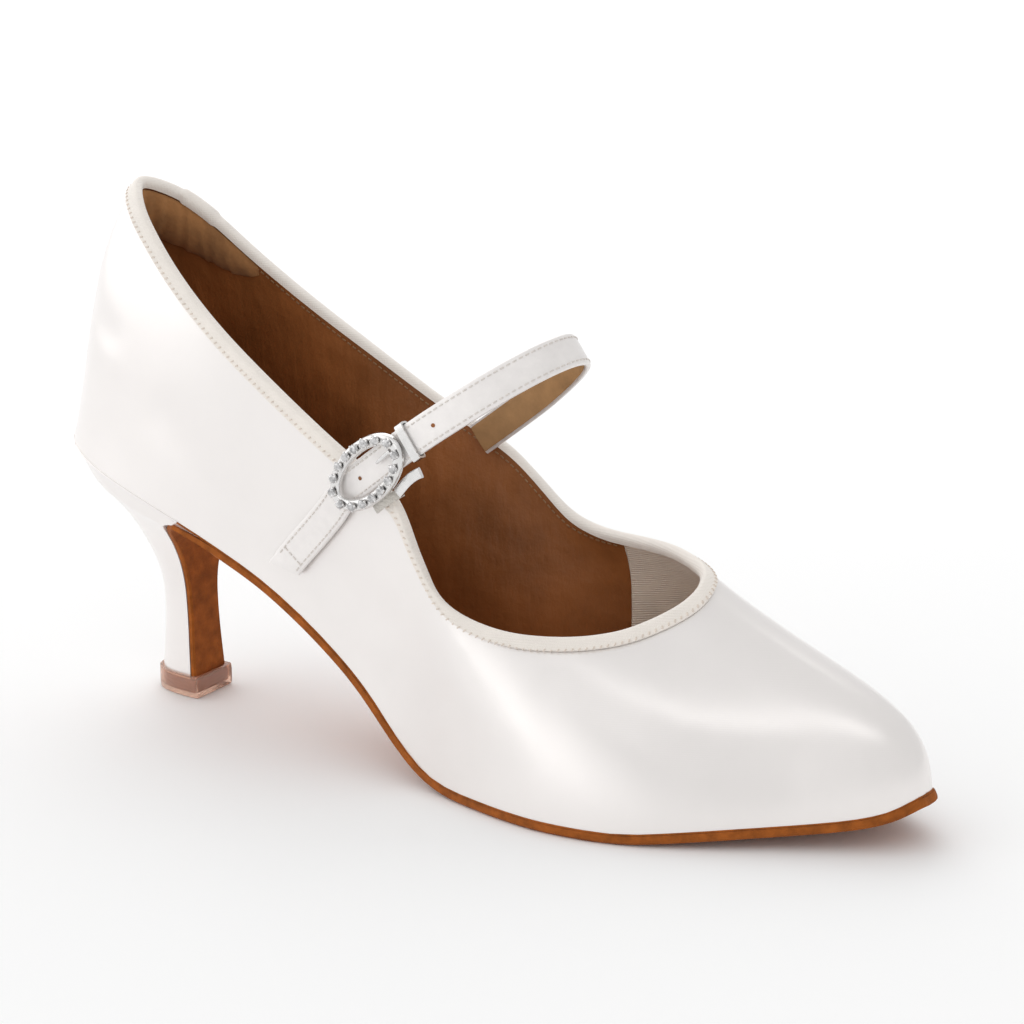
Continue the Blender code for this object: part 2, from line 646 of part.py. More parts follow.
def through(points, count):
    """Places on a smooth curve through the points, evenly numbered."""
    points = np.asarray(points, float)
    padded = np.vstack([2 * points[0] - points[1], points, 2 * points[-1] - points[-2]])
    out = []
    for place in np.linspace(0, len(points) - 1, count):
        i = min(int(place), len(points) - 2)
        t = place - i
        p0, p1, p2, p3 = padded[i:i + 4]
        out.append(p1 + 0.5 * t * (p2 - p0 + t * (2 * p0 - 5 * p1 + 4 * p2 - p3
                   + t * (3 * (p1 - p2) + p3 - p0))))
    return np.array(out)


class Strap:
    """Middle line of the strap from the end of its tail over the instep to its root."""

    def __init__(self, count=49):
        over = SEAM_GAP + STRAP_THICK / 2
        points, faces = [], []
        for row in TAIL:
            step = BINDING_THICK if row is TAIL[-1] else 0
            points.append(LAST.at(row.row, row.rise, over + SEAM_GAP + step))
            faces.append(LAST.normal(np.array(row.row), np.array(row.rise)))
        bridge = SEAM_GAP + BINDING_THICK + over + SEAM_GAP
        points.append(LAST.at(CROSSING.row, CROSSING.rise, bridge))
        faces.append(LAST.normal(np.array(CROSSING.row), np.array(CROSSING.rise)))
        inside = -(UPPER_WALL + 4 * SEAM_GAP + BINDING_THICK + over)
        root = LAST.at(ROOT.row, ROOT.rise, inside)
        face = LAST.normal(np.array(ROOT.row), np.array(ROOT.rise))
        slope = math.radians(STRAP_SLOPE)
        lean = np.array([math.cos(slope), 0, math.sin(slope)])
        middle, half = (root + points[-1]) / 2, (root - points[-1]) / 2 * (1 + STRAP_BOW)
        side, span = unit(half), np.linalg.norm(half)
        for turn in np.radians(np.linspace(ARCH_FOOT, 180 - ARCH_FOOT, ARCH_STEPS)):
            points.append(middle - half * math.cos(turn) + lean * math.sin(turn) * STRAP_RISE)
            faces.append(unit(lean * math.sin(turn) * span - side * math.cos(turn) * STRAP_RISE))
        points += [root, root - lean * ROOT_DEPTH]
        faces += [face, face]
        self.places = through(points, count)
        self.faces = unit(through(faces, count))
        self.ways = unit(np.gradient(self.places, axis=0))
        self.crossing = (len(TAIL) + BUCKLE_SHIFT) / (len(points) - 1) * (count - 1)

    def frame(self, place):
        """Point, direction along, across towards the toe and outwards at a numbered place."""
        i = min(int(place), len(self.places) - 2)
        t = place - i
        point, along, face = (rows[i] * (1 - t) + rows[i + 1] * t
                              for rows in (self.places, self.ways, self.faces))
        along = unit(along)
        out = unit(face - along * np.dot(face, along))
        return point, along, np.cross(along, out), out

    def beyond(self, start, distance):
        """Numbered place a distance further along than the start."""
        step = np.linalg.norm(np.diff(self.places, axis=0), axis=1)
        run = np.concatenate([[0], np.cumsum(step)])
        number = np.arange(len(run))
        return np.interp(np.interp(start, number, run) + distance, run, number)


STRAP = Strap()


def bar(centre, wide, tall, width, thick, cut):
    """Cross-section of a flat bar with its corners cut."""
    w, h = width / 2, thick / 2
    corners = [(w, h - cut), (w - cut, h), (cut - w, h), (-w, h - cut),
               (-w, cut - h), (cut - w, -h), (w - cut, -h), (w, cut - h)]
    return [centre + wide * a + tall * b for a, b in corners]


def make_strap():
    rings = []
    last = len(STRAP.places) - 1
    for i in range(last + 1):
        centre, along, across, out = STRAP.frame(i)
        ring = bar(centre, across, out, STRAP_WIDTH, STRAP_THICK, STRAP_CHAMFER)
        slant = TAIL_SLANT * max(0, 1 - i / 3) / STRAP_WIDTH
        rings.append([point + along * slant * (np.dot(point - centre, across) + STRAP_WIDTH / 2)
                      for point in ring])
    return build("instep_strap", rings, "satin")


def buckle_frame():
    """Middle of the frame's lower face, its long way, its cross way and outwards."""
    centre, along, across, out = STRAP.frame(STRAP.crossing)
    turn = math.radians(BUCKLE_TWIST)
    long_way = along * math.cos(turn) - across * math.sin(turn)
    cross_way = along * math.sin(turn) + across * math.cos(turn)
    return centre + out * (STRAP_THICK / 2 + SEAM_GAP), long_way, cross_way, out


def oval(turn, grow=0.0):
    """Point of the frame's middle line and the direction away from its centre."""
    a, b = (BUCKLE_LENGTH - BUCKLE_BAND) / 2, (BUCKLE_WIDTH - BUCKLE_BAND) / 2
    point = np.array([a * math.cos(turn), b * math.sin(turn)])
    away = unit(np.array([b * math.cos(turn), a * math.sin(turn)]))
    return point + away * grow, away


def make_buckle_frame():
    base, long_way, cross_way, out = buckle_frame()
    half = BUCKLE_BAND / 2
    section = [(-half, 0), (half, 0), (half, 0.65), (0.55 * half, 1), (-0.55 * half, 1),
               (-half, 0.65)]
    rings = []
    for turn in np.linspace(0, 2 * math.pi, 40, endpoint=False):
        ring = []
        for grow, height in section:
            point, _ = oval(turn, grow)
            ring.append(base + long_way * point[0] + cross_way * point[1]
                        + out * height * BUCKLE_THICK)
        rings.append(ring)
    build("buckle_frame", rings, "metal", closed=True)
    for i, turn in enumerate(even_turns(STONE_COUNT)):
        point, _ = oval(turn)
        seat = base + long_way * point[0] + cross_way * point[1] \
            + out * (BUCKLE_THICK + SEAM_GAP)
        make_stone(f"stone_{i + 1:02d}", seat, long_way, cross_way, out)


def even_turns(count):
    """Angles that share the frame's middle line out evenly."""
    turns = np.linspace(0, 2 * math.pi, 721)
    points = np.array([oval(turn)[0] for turn in turns])
    run = np.concatenate([[0], np.cumsum(np.linalg.norm(np.diff(points, axis=0), axis=1))])
    return np.interp((np.arange(count) + 0.5) / count * run[-1], run, turns)


def make_stone(name, seat, wide, tall, out):
    levels = [(0.36, 0.0), (0.50, 0.30), (STONE_TABLE / 2, 1.0)]
    rings = []
    for share, height in levels:
        rings.append([seat + out * height * STONE_HEIGHT + STONE_WIDTH * share
                      * (wide * math.cos(turn) + tall * math.sin(turn))
                      for turn in np.linspace(0, 2 * math.pi, 8, endpoint=False)])
    build(name, rings, "stone", angle=15.0)


def make_prong():
    """Pin that points down from the frame's upper end through the strap's hole."""
    base, long_way, cross_way, out = buckle_frame()
    top = BUCKLE_LENGTH / 2 - BUCKLE_BAND - SEAM_GAP
    rings = []
    for share, size in ((0, 1.0), (0.6, 1.0), (0.9, 0.8), (1.0, 0.4)):
        centre = base + long_way * (top - share * PRONG_LENGTH) + out * BUCKLE_THICK / 2
        rings.append(bar(centre, cross_way, out, PRONG_WIDTH * size, PRONG_WIDTH * size,
                         PRONG_WIDTH * size / 4))
    return build("buckle_prong", rings, "metal")


def make_keeper():
    """Metal loop round the strap at the frame's upper end."""
    place = STRAP.beyond(STRAP.crossing, (BUCKLE_LENGTH + KEEPER_LENGTH) / 2 + SEAM_GAP)
    centre, along, across, out = STRAP.frame(place)
    rings = []
    for end, grow in ((-1, 1), (1, 1), (1, 0), (-1, 0)):
        wide = STRAP_WIDTH + 2 * (KEEPER_SLACK + grow * KEEPER_WALL)
        tall = STRAP_THICK + 2 * (KEEPER_SLACK + grow * KEEPER_WALL)
        rings.append(bar(centre + along * end * KEEPER_LENGTH / 2, across, out, wide, tall,
                         STRAP_CHAMFER))
    return build("buckle_keeper", rings, "metal", closed=True)


def hook_points():
    centre, along, across, out = STRAP.frame(STRAP.crossing)
    return [centre + along * row.along * BUCKLE_LENGTH + across * row.across * BUCKLE_WIDTH
            for row in HOOK], along, across, out


def ribbon(name, points, faces, width, thick, finish, count=17):
    line = through(points, count)
    faces = unit(through(faces, count))
    rings = []
    for i in range(count):
        along = unit(line[min(i + 1, count - 1)] - line[max(i - 1, 0)])
        out = unit(faces[i] - along * np.dot(faces[i], along))
        rings.append(bar(line[i], np.cross(along, out), out, width, thick, thick / 5))
    return build(name, rings, finish)


def make_hook():
    points, _, _, out = hook_points()
    return ribbon("buckle_hook", points, [out] * len(points), HOOK_WIDTH, HOOK_THICK, "metal", 13)


def make_tab():
    """Elastic from the end of the hook down to the upper."""
    points, _, _, out = hook_points()
    over = TAB_THICK / 2 + BINDING_THICK + 3 * SEAM_GAP
    low = LAST.at(TAB_END.row, TAB_END.rise, over)
    face = LAST.normal(np.array(TAB_END.row), np.array(TAB_END.rise))
    top = points[-1] - out * ((HOOK_THICK + TAB_THICK) / 2 + 2 * SEAM_GAP)
    middle = (low + top) / 2 + face * (BINDING_THICK + 3 * SEAM_GAP)
    return ribbon("elastic_tab", [low, middle, top], [face, face, out], TAB_WIDTH, TAB_THICK,
                  "elastic", 11)


def clear_scene():
    for item in list(bpy.data.objects):
        bpy.data.objects.remove(item, do_unlink=True)


clear_scene()
make_upper()
make_binding()
make_grip()
make_insole()
make_outsole()
make_heel()
make_tip()
make_strap()
make_buckle_frame()
make_prong()
make_keeper()
make_hook()
make_tab()
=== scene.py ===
"""Looks of the ballroom court shoe: satin, ribbon, linings, stitches, suede, buckle and stage."""
import math

import bmesh
import bpy
import numpy as np
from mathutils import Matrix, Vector
from mathutils.bvhtree import BVHTree


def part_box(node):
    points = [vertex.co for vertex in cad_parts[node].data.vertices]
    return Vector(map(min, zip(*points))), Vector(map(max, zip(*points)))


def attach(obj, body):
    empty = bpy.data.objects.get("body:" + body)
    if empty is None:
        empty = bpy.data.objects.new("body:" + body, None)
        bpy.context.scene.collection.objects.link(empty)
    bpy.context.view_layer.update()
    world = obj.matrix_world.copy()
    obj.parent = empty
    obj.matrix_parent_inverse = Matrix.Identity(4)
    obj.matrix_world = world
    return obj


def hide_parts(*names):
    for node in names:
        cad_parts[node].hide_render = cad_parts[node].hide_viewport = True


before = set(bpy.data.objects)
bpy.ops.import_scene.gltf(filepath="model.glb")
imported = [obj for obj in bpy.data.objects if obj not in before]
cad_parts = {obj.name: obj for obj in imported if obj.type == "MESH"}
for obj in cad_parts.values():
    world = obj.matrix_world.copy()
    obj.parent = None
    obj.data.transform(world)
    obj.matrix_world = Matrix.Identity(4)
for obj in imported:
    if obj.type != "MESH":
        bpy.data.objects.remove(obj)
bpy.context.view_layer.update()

bl_info = {
    "name": "Ballroom Court Shoe",
    "version": (1, 0, 0),
    "blender": (4, 5, 0),
    "location": "3D View > Sidebar > Shoe",
    "description": "Dresses the packed model of a satin court shoe with an instep strap",
    "category": "Object",
}

BODY = "root"

# Lengths are in metres and bends in degrees
MERGE = 2e-5            # points of the model that are closer than this become one
QUAD_BEND = 45          # two triangles that bend less than this may join
QUAD_SKEW = 75
CREASE = 40             # edges that bend more than this stay sharp when a piece is refined
SMOOTH_BEND = 38        # edges that bend less than this are shaded smooth
TINY = 1e-12
LOOKS_UP = 0.9          # height of the normal of a face that looks up

# Line down the inside of the shoe, from the collar to the toe: outer faces look away from it
INSIDE = [(0.005, 0.000, 0.100), (0.030, 0.000, 0.082), (0.060, 0.000, 0.062),
          (0.090, 0.001, 0.042), (0.120, 0.004, 0.026), (0.150, 0.007, 0.021),
          (0.192, 0.009, 0.018)]

# Soft folds of the satin: a line on the surface, half width and depth, in metres.
# A negative depth is a ridge.
FOLDS = [
    ([(-0.026, -0.012, 0.106), (-0.010, -0.019, 0.097)], 0.0045, 0.00045),
    ([(-0.024, -0.018, 0.098), (-0.006, -0.022, 0.090)], 0.0040, -0.00025),
    ([(0.012, -0.022, 0.079), (0.026, -0.022, 0.066)], 0.0060, 0.00030),
    ([(0.040, -0.024, 0.062), (0.078, -0.022, 0.040)], 0.0060, 0.00030),
    ([(0.036, 0.024, 0.062), (0.080, 0.020, 0.040)], 0.0060, 0.00035),
    ([(0.098, -0.030, 0.024), (0.120, -0.036, 0.012)], 0.0050, 0.00025),
    ([(0.096, 0.030, 0.030), (0.118, 0.036, 0.014)], 0.0050, 0.00030),
    ([(0.1283, -0.0237, 0.0331), (0.1575, -0.0190, 0.0222), (0.1818, -0.0084, 0.0181)],
     0.0060, 0.00045),
]

# The seam of the linings lies in a plane that leans back a little
SEAM_FACING = (1.0, -0.034, -0.034)

# Small puckers of the quarter lining near the throat
PUCKERS = [
    ([(0.062, -0.012, 0.050), (0.082, -0.022, 0.058)], 0.0010, 0.00020),
    ([(0.066, -0.014, 0.046), (0.086, -0.022, 0.052)], 0.0010, 0.00020),
]


def real(name, default, description):
    """A length that a user may change."""
    return bpy.props.FloatProperty(name=name, default=default, description=description,
                                   subtype="DISTANCE", unit="LENGTH", precision=5)


def tint(name, default, description):
    """A colour that a user may change."""
    return bpy.props.FloatVectorProperty(name=name, default=default, description=description,
                                         subtype="COLOR", size=3, min=0.0, max=1.0)


class ShoeSizes(bpy.types.PropertyGroup):
    stitch_pitch: real("Stitch pitch", 0.0017, "From one stitch to the next")
    stitch_length: real("Stitch length", 0.0011, "Thread that shows of one stitch")
    stitch_width: real("Stitch width", 0.00038, "Thickness of the sewing thread")
    edge_margin: real("Edge margin", 0.00025, "From a ribbon's edge to its stitches")
    edge_stitch: real("Edge stitch", 0.0009, "Thread that shows of one stitch over a ribbon's edge")
    lining_margin: real("Lining margin", 0.0009, "From the binding down to the lining's stitches")
    strap_margin: real("Strap margin", 0.0011, "From the strap's edges to their stitches")
    lining_thick: real("Lining thickness", 0.0002, "Leather or twill that covers the inside")
    lining_gap: real("Lining gap", 0.00003, "Air behind a lining")
    vamp_seam: real("Vamp seam", 0.1129, "Where the leather lining meets the twill")
    piping: real("Piping", 0.0005, "Folded satin edge between upper and heel")
    hole_width: real("Hole width", 0.0010, "Punched holes of the strap")
    stone_width: real("Stone width", 0.0023, "Diameter of one stone")
    claw_width: real("Claw width", 0.00062, "Bead of metal that holds a stone")


class ShoeColours(bpy.types.PropertyGroup):
    satin: tint("Satin", (0.905, 0.87, 0.85), "Upper, strap and heel cover")
    ribbon: tint("Ribbon", (0.90, 0.84, 0.775), "Binding of the topline")
    thread: tint("Thread", (0.80, 0.70, 0.61), "Stitches of the binding")
    strap_thread: tint("Strap thread", (0.78, 0.73, 0.68), "Stitches of the strap")
    lining_thread: tint("Lining thread", (0.38, 0.21, 0.10), "Stitches of the lining")
    # the lining leather's colour also darkens the dots for the strap's holes, where it is painted
    # shade
    leather: tint("Lining leather", (0.38, 0.135, 0.038), "Quarter lining")
    twill: tint("Twill", (0.95, 0.86, 0.74), "Vamp lining")
    strap_leather: tint("Strap leather", (0.48, 0.27, 0.12), "Underside of the strap")
    grip: tint("Grip suede", (0.46, 0.215, 0.075), "Padded heel grip")
    sock: tint("Sock", (0.66, 0.28, 0.07), "Upper face of the insole")
    suede: tint("Sole suede", (0.40, 0.112, 0.018), "Outsole and breast flap")
    lift: tint("Heel lift", (0.42, 0.15, 0.07), "Top piece")
    plastic: tint("Protector", (0.95, 0.62, 0.47), "Clear heel protector")
    metal: tint("Silver", (0.84, 0.83, 0.82), "Buckle, keeper and hook")
    # light end of the stones' colour; their finish darkens patches of it into painted dark
    # reflections
    stone: tint("Stone", (0.88, 0.87, 0.87), "Foil-backed stones")
    elastic: tint("Elastic", (0.70, 0.66, 0.60), "Elastic behind the hook")


def sizes():
    return bpy.context.scene.shoe_sizes


def colours():
    return bpy.context.scene.shoe_colours


# Selecting and shaping

def pick(item):
    """Makes one object the only selected one."""
    if bpy.context.object and bpy.context.object.mode != "OBJECT":
        bpy.ops.object.mode_set(mode="OBJECT")
    bpy.ops.object.select_all(action="DESELECT")
    item.select_set(True)
    bpy.context.view_layer.objects.active = item


def merged(node, name):
    """Copy of a CAD node with its loose triangles joined to faces of four corners."""
    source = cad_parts[node]
    piece = bpy.data.objects.new(name, source.data.copy())
    piece.data.name = name
    bpy.context.scene.collection.objects.link(piece)
    piece.data.materials.clear()
    pick(piece)
    bpy.ops.mesh.customdata_custom_splitnormals_clear()
    bpy.ops.object.mode_set(mode="EDIT")
    bpy.ops.mesh.select_all(action="SELECT")
    bpy.ops.mesh.remove_doubles(threshold=MERGE)
    bpy.ops.mesh.mark_sharp(clear=True)
    bpy.ops.mesh.tris_convert_to_quads(face_threshold=math.radians(QUAD_BEND),
                                       shape_threshold=math.radians(QUAD_SKEW))
    bpy.ops.object.mode_set(mode="OBJECT")
    bpy.ops.object.shade_smooth()
    return piece


def apply_modifier(piece, kind, **values):
    pick(piece)
    modifier = piece.modifiers.new(kind.title(), kind)
    for key, value in values.items():
        setattr(modifier, key, value)
    bpy.ops.object.modifier_apply(modifier=modifier.name)


def hold_edges(piece, angle, hold=1.0):
    """Creases the edges that bend by more than an angle, in degrees."""
    mesh = bmesh.new()
    mesh.from_mesh(piece.data)
    layer = mesh.edges.layers.float.get("crease_edge")
    if layer is None:
        layer = mesh.edges.layers.float.new("crease_edge")
    for edge in mesh.edges:
        if edge.is_manifold and edge.calc_face_angle() > math.radians(angle):
            edge[layer] = hold
    mesh.to_mesh(piece.data)
    mesh.free()


def refined(node, name, angle=CREASE, levels=2, hold=1.0):
    """Smooth copy of a CAD node that keeps the node's own sharp edges."""
    piece = merged(node, name)
    hold_edges(piece, angle, hold)
    apply_modifier(piece, "SUBSURF", levels=levels, render_levels=levels,
                   boundary_smooth="PRESERVE_CORNERS")
    pick(piece)
    bpy.ops.object.shade_smooth_by_angle(angle=math.radians(SMOOTH_BEND))
    return piece


def points_of(piece):
    flat = np.zeros(len(piece.data.vertices) * 3, np.float32)
    piece.data.vertices.foreach_get("co", flat)
    return flat.reshape(-1, 3).astype(float)


def place_points(piece, points):
    piece.data.vertices.foreach_set("co", np.asarray(points, np.float32).ravel())
    piece.data.update()


def unit(v):
    return v / np.maximum(np.linalg.norm(v, axis=-1, keepdims=True), TINY)


def nearest_on_line(points, line):
    """Nearest place on a line of points for each point."""
    line = np.asarray(line, float)
    best = np.full(len(points), np.inf)
    found = np.zeros_like(points)
    for a, b in zip(line, line[1:]):
        way = b - a
        share = np.clip((points - a) @ way / (way @ way), 0, 1)
        place = a + share[:, None] * way
        far = np.linalg.norm(points - place, axis=1)
        closer = far < best
        best[closer] = far[closer]
        found[closer] = place[closer]
    return found


def looks_out(points, normals):
    """Whether each point's normal looks away from the inside of the shoe."""
    return np.sum((points - nearest_on_line(points, INSIDE)) * normals, axis=1) > 0


def normals_of(piece):
    piece.data.update()
    return np.array([vertex.normal[:] for vertex in piece.data.vertices])


def press_folds(piece, folds, outer_only=True):
    """Presses soft folds into a piece, along its normals."""
    points, normals = points_of(piece), normals_of(piece)
    depth = np.zeros(len(points))
    for line, width, low in folds:
        far = np.linalg.norm(points - nearest_on_line(points, line), axis=1)
        depth += low * np.exp(-(far / width) ** 2)
    if outer_only:
        depth *= looks_out(points, normals)
    place_points(piece, points - normals * depth[:, None])


def sharp_loops(node, angle):
    """Closed loops of a node's edges that bend by more than an angle, as lists of points."""
    piece = merged(node, "loops")
    mesh = bmesh.new()
    mesh.from_mesh(piece.data)
    sharp = {edge for edge in mesh.edges
             if edge.is_manifold and edge.calc_face_angle() > math.radians(angle)}
    loops = []
    while sharp:
        edge = sharp.pop()
        chain = [edge.verts[0], edge.verts[1]]
        while True:
            onward = [e for e in chain[-1].link_edges if e in sharp]
            if not onward:
                break
            sharp.discard(onward[0])
            chain.append(onward[0].other_vert(chain[-1]))
            if chain[-1] is chain[0]:
                break
        if chain[-1] is chain[0] and len(chain) > 4:
            loops.append(np.array([vert.co[:] for vert in chain[:-1]]))
    mesh.free()
    bpy.data.objects.remove(piece, do_unlink=True)
    return loops


def height_of(loop):
    """Average height of a loop of points."""
    return loop[:, 2].mean()


CAP_BEND = 60           # the edges round a loft's end bend by more than this
RING = 6                # points in a full ring of the strap, at least


def stations(node):
    """Rings of a lofted node from one end cap to the other, as arrays of points."""
    caps = sharp_loops(node, CAP_BEND)
    piece = merged(node, "stations")
    points = points_of(piece)
    linked = [set() for _ in points]
    for edge in piece.data.edges:
        a, b = edge.vertices
        linked[a].add(b)
        linked[b].add(a)
    bpy.data.objects.remove(piece, do_unlink=True)
    first = min(caps, key=height_of)
    ring = {int(np.linalg.norm(points - p, axis=1).argmin()) for p in first}
    seen, rings = set(ring), []
    while ring:
        rings.append(points[sorted(ring)])
        ring = set().union(*(linked[i] for i in ring)) - seen
        seen |= ring
    return rings


class StrapLine:
    """Middle line of the strap with its directions across and outwards."""

    def __init__(self):
        rings = [ring for ring in stations("instep_strap") if len(ring) >= RING]
        self.middle = np.array([ring.mean(0) for ring in rings])
        self.along = unit(np.gradient(self.middle, axis=0))
        across = []
        for ring, along in zip(rings, self.along):
            spread = ring - ring.mean(0)
            spread = spread - np.outer(spread @ along, along)
            way = np.linalg.svd(spread)[2][0]
            if across and way @ across[-1] < 0:
                way = -way
            across.append(way)
        self.across = np.array(across)
        if self.across[:, 0].mean() < 0:
            self.across = -self.across
        self.out = unit(np.cross(self.across, self.along))
        top = int(self.middle[:, 2].argmax())
        if self.out[top][2] < 0:
            self.out = -self.out
        wide = [abs((ring - ring.mean(0)) @ way).max() for ring, way in zip(rings, self.across)]
        deep = [abs((ring - ring.mean(0)) @ way).max() for ring, way in zip(rings, self.out)]
        self.half_width = float(np.median(wide))
        self.half_thick = float(np.median(deep))

    def row(self, sideways, above, first):
        """Points beside the middle line and above it, from the ring with this number on."""
        return (self.middle + self.across * sideways + self.out * above)[first:]


def evenly(path, pitch, closed):
    """Points along a path at a pitch, with the direction there."""
    path = np.asarray(path, float)
    if closed:
        path = np.vstack([path, path[:1]])
    run = np.concatenate([[0], np.cumsum(np.linalg.norm(np.diff(path, axis=0), axis=1))])
    count = max(2, round(run[-1] / pitch))
    places = (np.arange(count) + 0.5) * run[-1] / count
    points = np.stack([np.interp(places, run, path[:, k]) for k in range(3)], 1)
    ahead = np.stack([np.interp(places + pitch / 4, run, path[:, k]) for k in range(3)], 1)
    back = np.stack([np.interp(places - pitch / 4, run, path[:, k]) for k in range(3)], 1)
    return points, unit(ahead - back)


def surface(piece):
    """Search tree over a piece's faces."""
    mesh = bmesh.new()
    mesh.from_mesh(piece.data)
    tree = BVHTree.FromBMesh(mesh)
    mesh.free()
    return tree


# Stitches
STITCH_FLAT = 0.8       # height of a stitch as a share of its width
STITCH_ROUND = 0.3      # rounding of its edges, as a share of its width
STITCH_BEND = 50
STITCH_REACH = 0.004    # a stitch is left out where its surface is farther than this
STITCH_SINK = 0.35      # share of a stitch's half height that lies in the surface


def stitch_form(length):
    """One stitch along X: a rounded bar, as points and faces."""
    bpy.ops.object.select_all(action="DESELECT")
    bpy.ops.mesh.primitive_cube_add(size=1.0)
    bar = bpy.context.object
    bpy.ops.object.mode_set(mode="EDIT")
    bpy.ops.mesh.select_all(action="SELECT")
    bpy.ops.transform.resize(value=(length, sizes().stitch_width,
                                    sizes().stitch_width * STITCH_FLAT))
    bpy.ops.mesh.bevel(offset=sizes().stitch_width * STITCH_ROUND, segments=2)
    bpy.ops.object.mode_set(mode="OBJECT")
    return taken(bar)


def select_top(piece):
    """Selects the faces that look up, in edit mode."""
    mesh = bmesh.from_edit_mesh(piece.data)
    for face in mesh.faces:
        face.select = face.normal.z > LOOKS_UP
    bmesh.update_edit_mesh(piece.data)


def taken(piece):
    """A scratch object's points and faces; the object itself goes."""
    form = points_of(piece), [tuple(face.vertices) for face in piece.data.polygons]
    bpy.data.objects.remove(piece, do_unlink=True)
    return form


def repeated(name, form, places):
    """One mesh with a copy of a form at each place, given as point and three directions."""
    points, faces = form
    all_points, all_faces = [], []
    for at, x, y, z in places:
        start = len(points) * len(all_points)
        all_points.append(at + points @ np.array([x, y, z]))
        all_faces += [tuple(start + i for i in face) for face in faces]
    data = bpy.data.meshes.new(name)
    data.from_pydata(np.vstack(all_points).tolist(), [], all_faces)
    data.update()
    piece = bpy.data.objects.new(name, data)
    bpy.context.scene.collection.objects.link(piece)
    pick(piece)
    bpy.ops.object.shade_smooth_by_angle(angle=math.radians(STITCH_BEND))
    return piece


def sew(name, path, on, closed=False, slant=0.0, sink=STITCH_SINK, length=None):
    """Row of stitches along a path, laid on the surface of another piece."""
    tree = surface(on)
    form = stitch_form(length or sizes().stitch_length)
    places = []
    points, ways = evenly(path, sizes().stitch_pitch, closed)
    for point, way in zip(points, ways):
        found, normal, _, far = tree.find_nearest(Vector(point))
        if found is None or far > STITCH_REACH:
            continue
        up = np.array(normal)
        along = unit(way - up * (way @ up))
        side = np.cross(up, along)
        turned = along * math.cos(slant) + side * math.sin(slant)
        lift = sizes().stitch_width * STITCH_FLAT / 2 * (1 - sink)
        places.append((np.array(found) + up * lift, turned, np.cross(up, turned), up))
    return repeated(name, form, places)


def tube(name, path, radius):
    """Round cord along a path, as a mesh."""
    data = bpy.data.curves.new(name, "CURVE")
    data.dimensions = "3D"
    data.bevel_depth = radius
    data.bevel_resolution = 3
    data.use_fill_caps = True
    line = data.splines.new("POLY")
    line.points.add(len(path) - 1)
    for point, place in zip(line.points, path):
        point.co = (*place, 1)
    piece = bpy.data.objects.new(name, data)
    bpy.context.scene.collection.objects.link(piece)
    pick(piece)
    bpy.ops.object.convert(target="MESH")
    bpy.ops.object.shade_smooth()
    return bpy.context.object


# Materials

def new_group(name, inputs, outputs):
    group = bpy.data.node_groups.new(name, "ShaderNodeTree")
    for label, kind, default in inputs:
        socket = group.interface.new_socket(label, in_out="INPUT", socket_type=kind)
        if default is not None:
            socket.default_value = default
    for label, kind in outputs:
        group.interface.new_socket(label, in_out="OUTPUT", socket_type=kind)
    return group, group.nodes.new("NodeGroupInput"), group.nodes.new("NodeGroupOutput")


def mottle_group():
    """Slow change between two colours, as in dyed cloth and leather; on the stones its dark patches
    are painted reflections.
    """
    group, given, made = new_group("Mottle", [
        ("Vector", "NodeSocketVector", None),
        ("Scale", "NodeSocketFloat", 60.0),
        ("Light", "NodeSocketColor", (1, 1, 1, 1)),
        ("Dark", "NodeSocketColor", (0.8, 0.8, 0.8, 1)),
    ], [("Colour", "NodeSocketColor")])
    noise = group.nodes.new("ShaderNodeTexNoise")
    noise.inputs["Detail"].default_value = 4.0
    noise.inputs["Roughness"].default_value = 0.6
    ramp = group.nodes.new("ShaderNodeMapRange")
    ramp.inputs["From Min"].default_value = 0.30
    ramp.inputs["From Max"].default_value = 0.70
    mix = group.nodes.new("ShaderNodeMix")
    mix.data_type = "RGBA"
    link = group.links.new
    link(given.outputs["Vector"], noise.inputs["Vector"])
    link(given.outputs["Scale"], noise.inputs["Scale"])
    link(noise.outputs["Fac"], ramp.inputs["Value"])
    link(ramp.outputs["Result"], mix.inputs["Factor"])
    link(given.outputs["Dark"], mix.inputs["A"])
    link(given.outputs["Light"], mix.inputs["B"])
    link(mix.outputs["Result"], made.inputs["Colour"])
    return group


def grain_group():
    """Pores and nap of leather and suede, as a height."""
    group, given, made = new_group("Grain", [
        ("Vector", "NodeSocketVector", None),
        ("Scale", "NodeSocketFloat", 1200.0),
        ("Nap", "NodeSocketFloat", 0.5),
    ], [("Height", "NodeSocketFloat")])
    pores = group.nodes.new("ShaderNodeTexVoronoi")
    fuzz = group.nodes.new("ShaderNodeTexNoise")
    fuzz.inputs["Detail"].default_value = 6.0
    mix = group.nodes.new("ShaderNodeMix")
    link = group.links.new
    for node in (pores, fuzz):
        link(given.outputs["Vector"], node.inputs["Vector"])
        link(given.outputs["Scale"], node.inputs["Scale"])
    link(given.outputs["Nap"], mix.inputs["Factor"])
    link(pores.outputs["Distance"], mix.inputs["A"])
    link(fuzz.outputs["Fac"], mix.inputs["B"])
    link(mix.outputs["Result"], made.inputs["Height"])
    return group


def weave_group():
    """Crossing threads of a cloth, as a height."""
    group, given, made = new_group("Weave", [
        ("Vector", "NodeSocketVector", None),
        ("Warp", "NodeSocketFloat", 400.0),
        ("Weft", "NodeSocketFloat", 250.0),
    ], [("Height", "NodeSocketFloat")])
    link = group.links.new
    total = group.nodes.new("ShaderNodeMath")
    total.operation = "ADD"
    for slot, (label, direction) in enumerate((("Warp", "X"), ("Weft", "Z"))):
        wave = group.nodes.new("ShaderNodeTexWave")
        wave.bands_direction = direction
        wave.inputs["Distortion"].default_value = 0.6
        wave.inputs["Detail"].default_value = 1.0
        link(given.outputs["Vector"], wave.inputs["Vector"])
        link(given.outputs[label], wave.inputs["Scale"])
        link(wave.outputs["Fac"], total.inputs[slot])
    link(total.outputs["Value"], made.inputs["Height"])
    return group


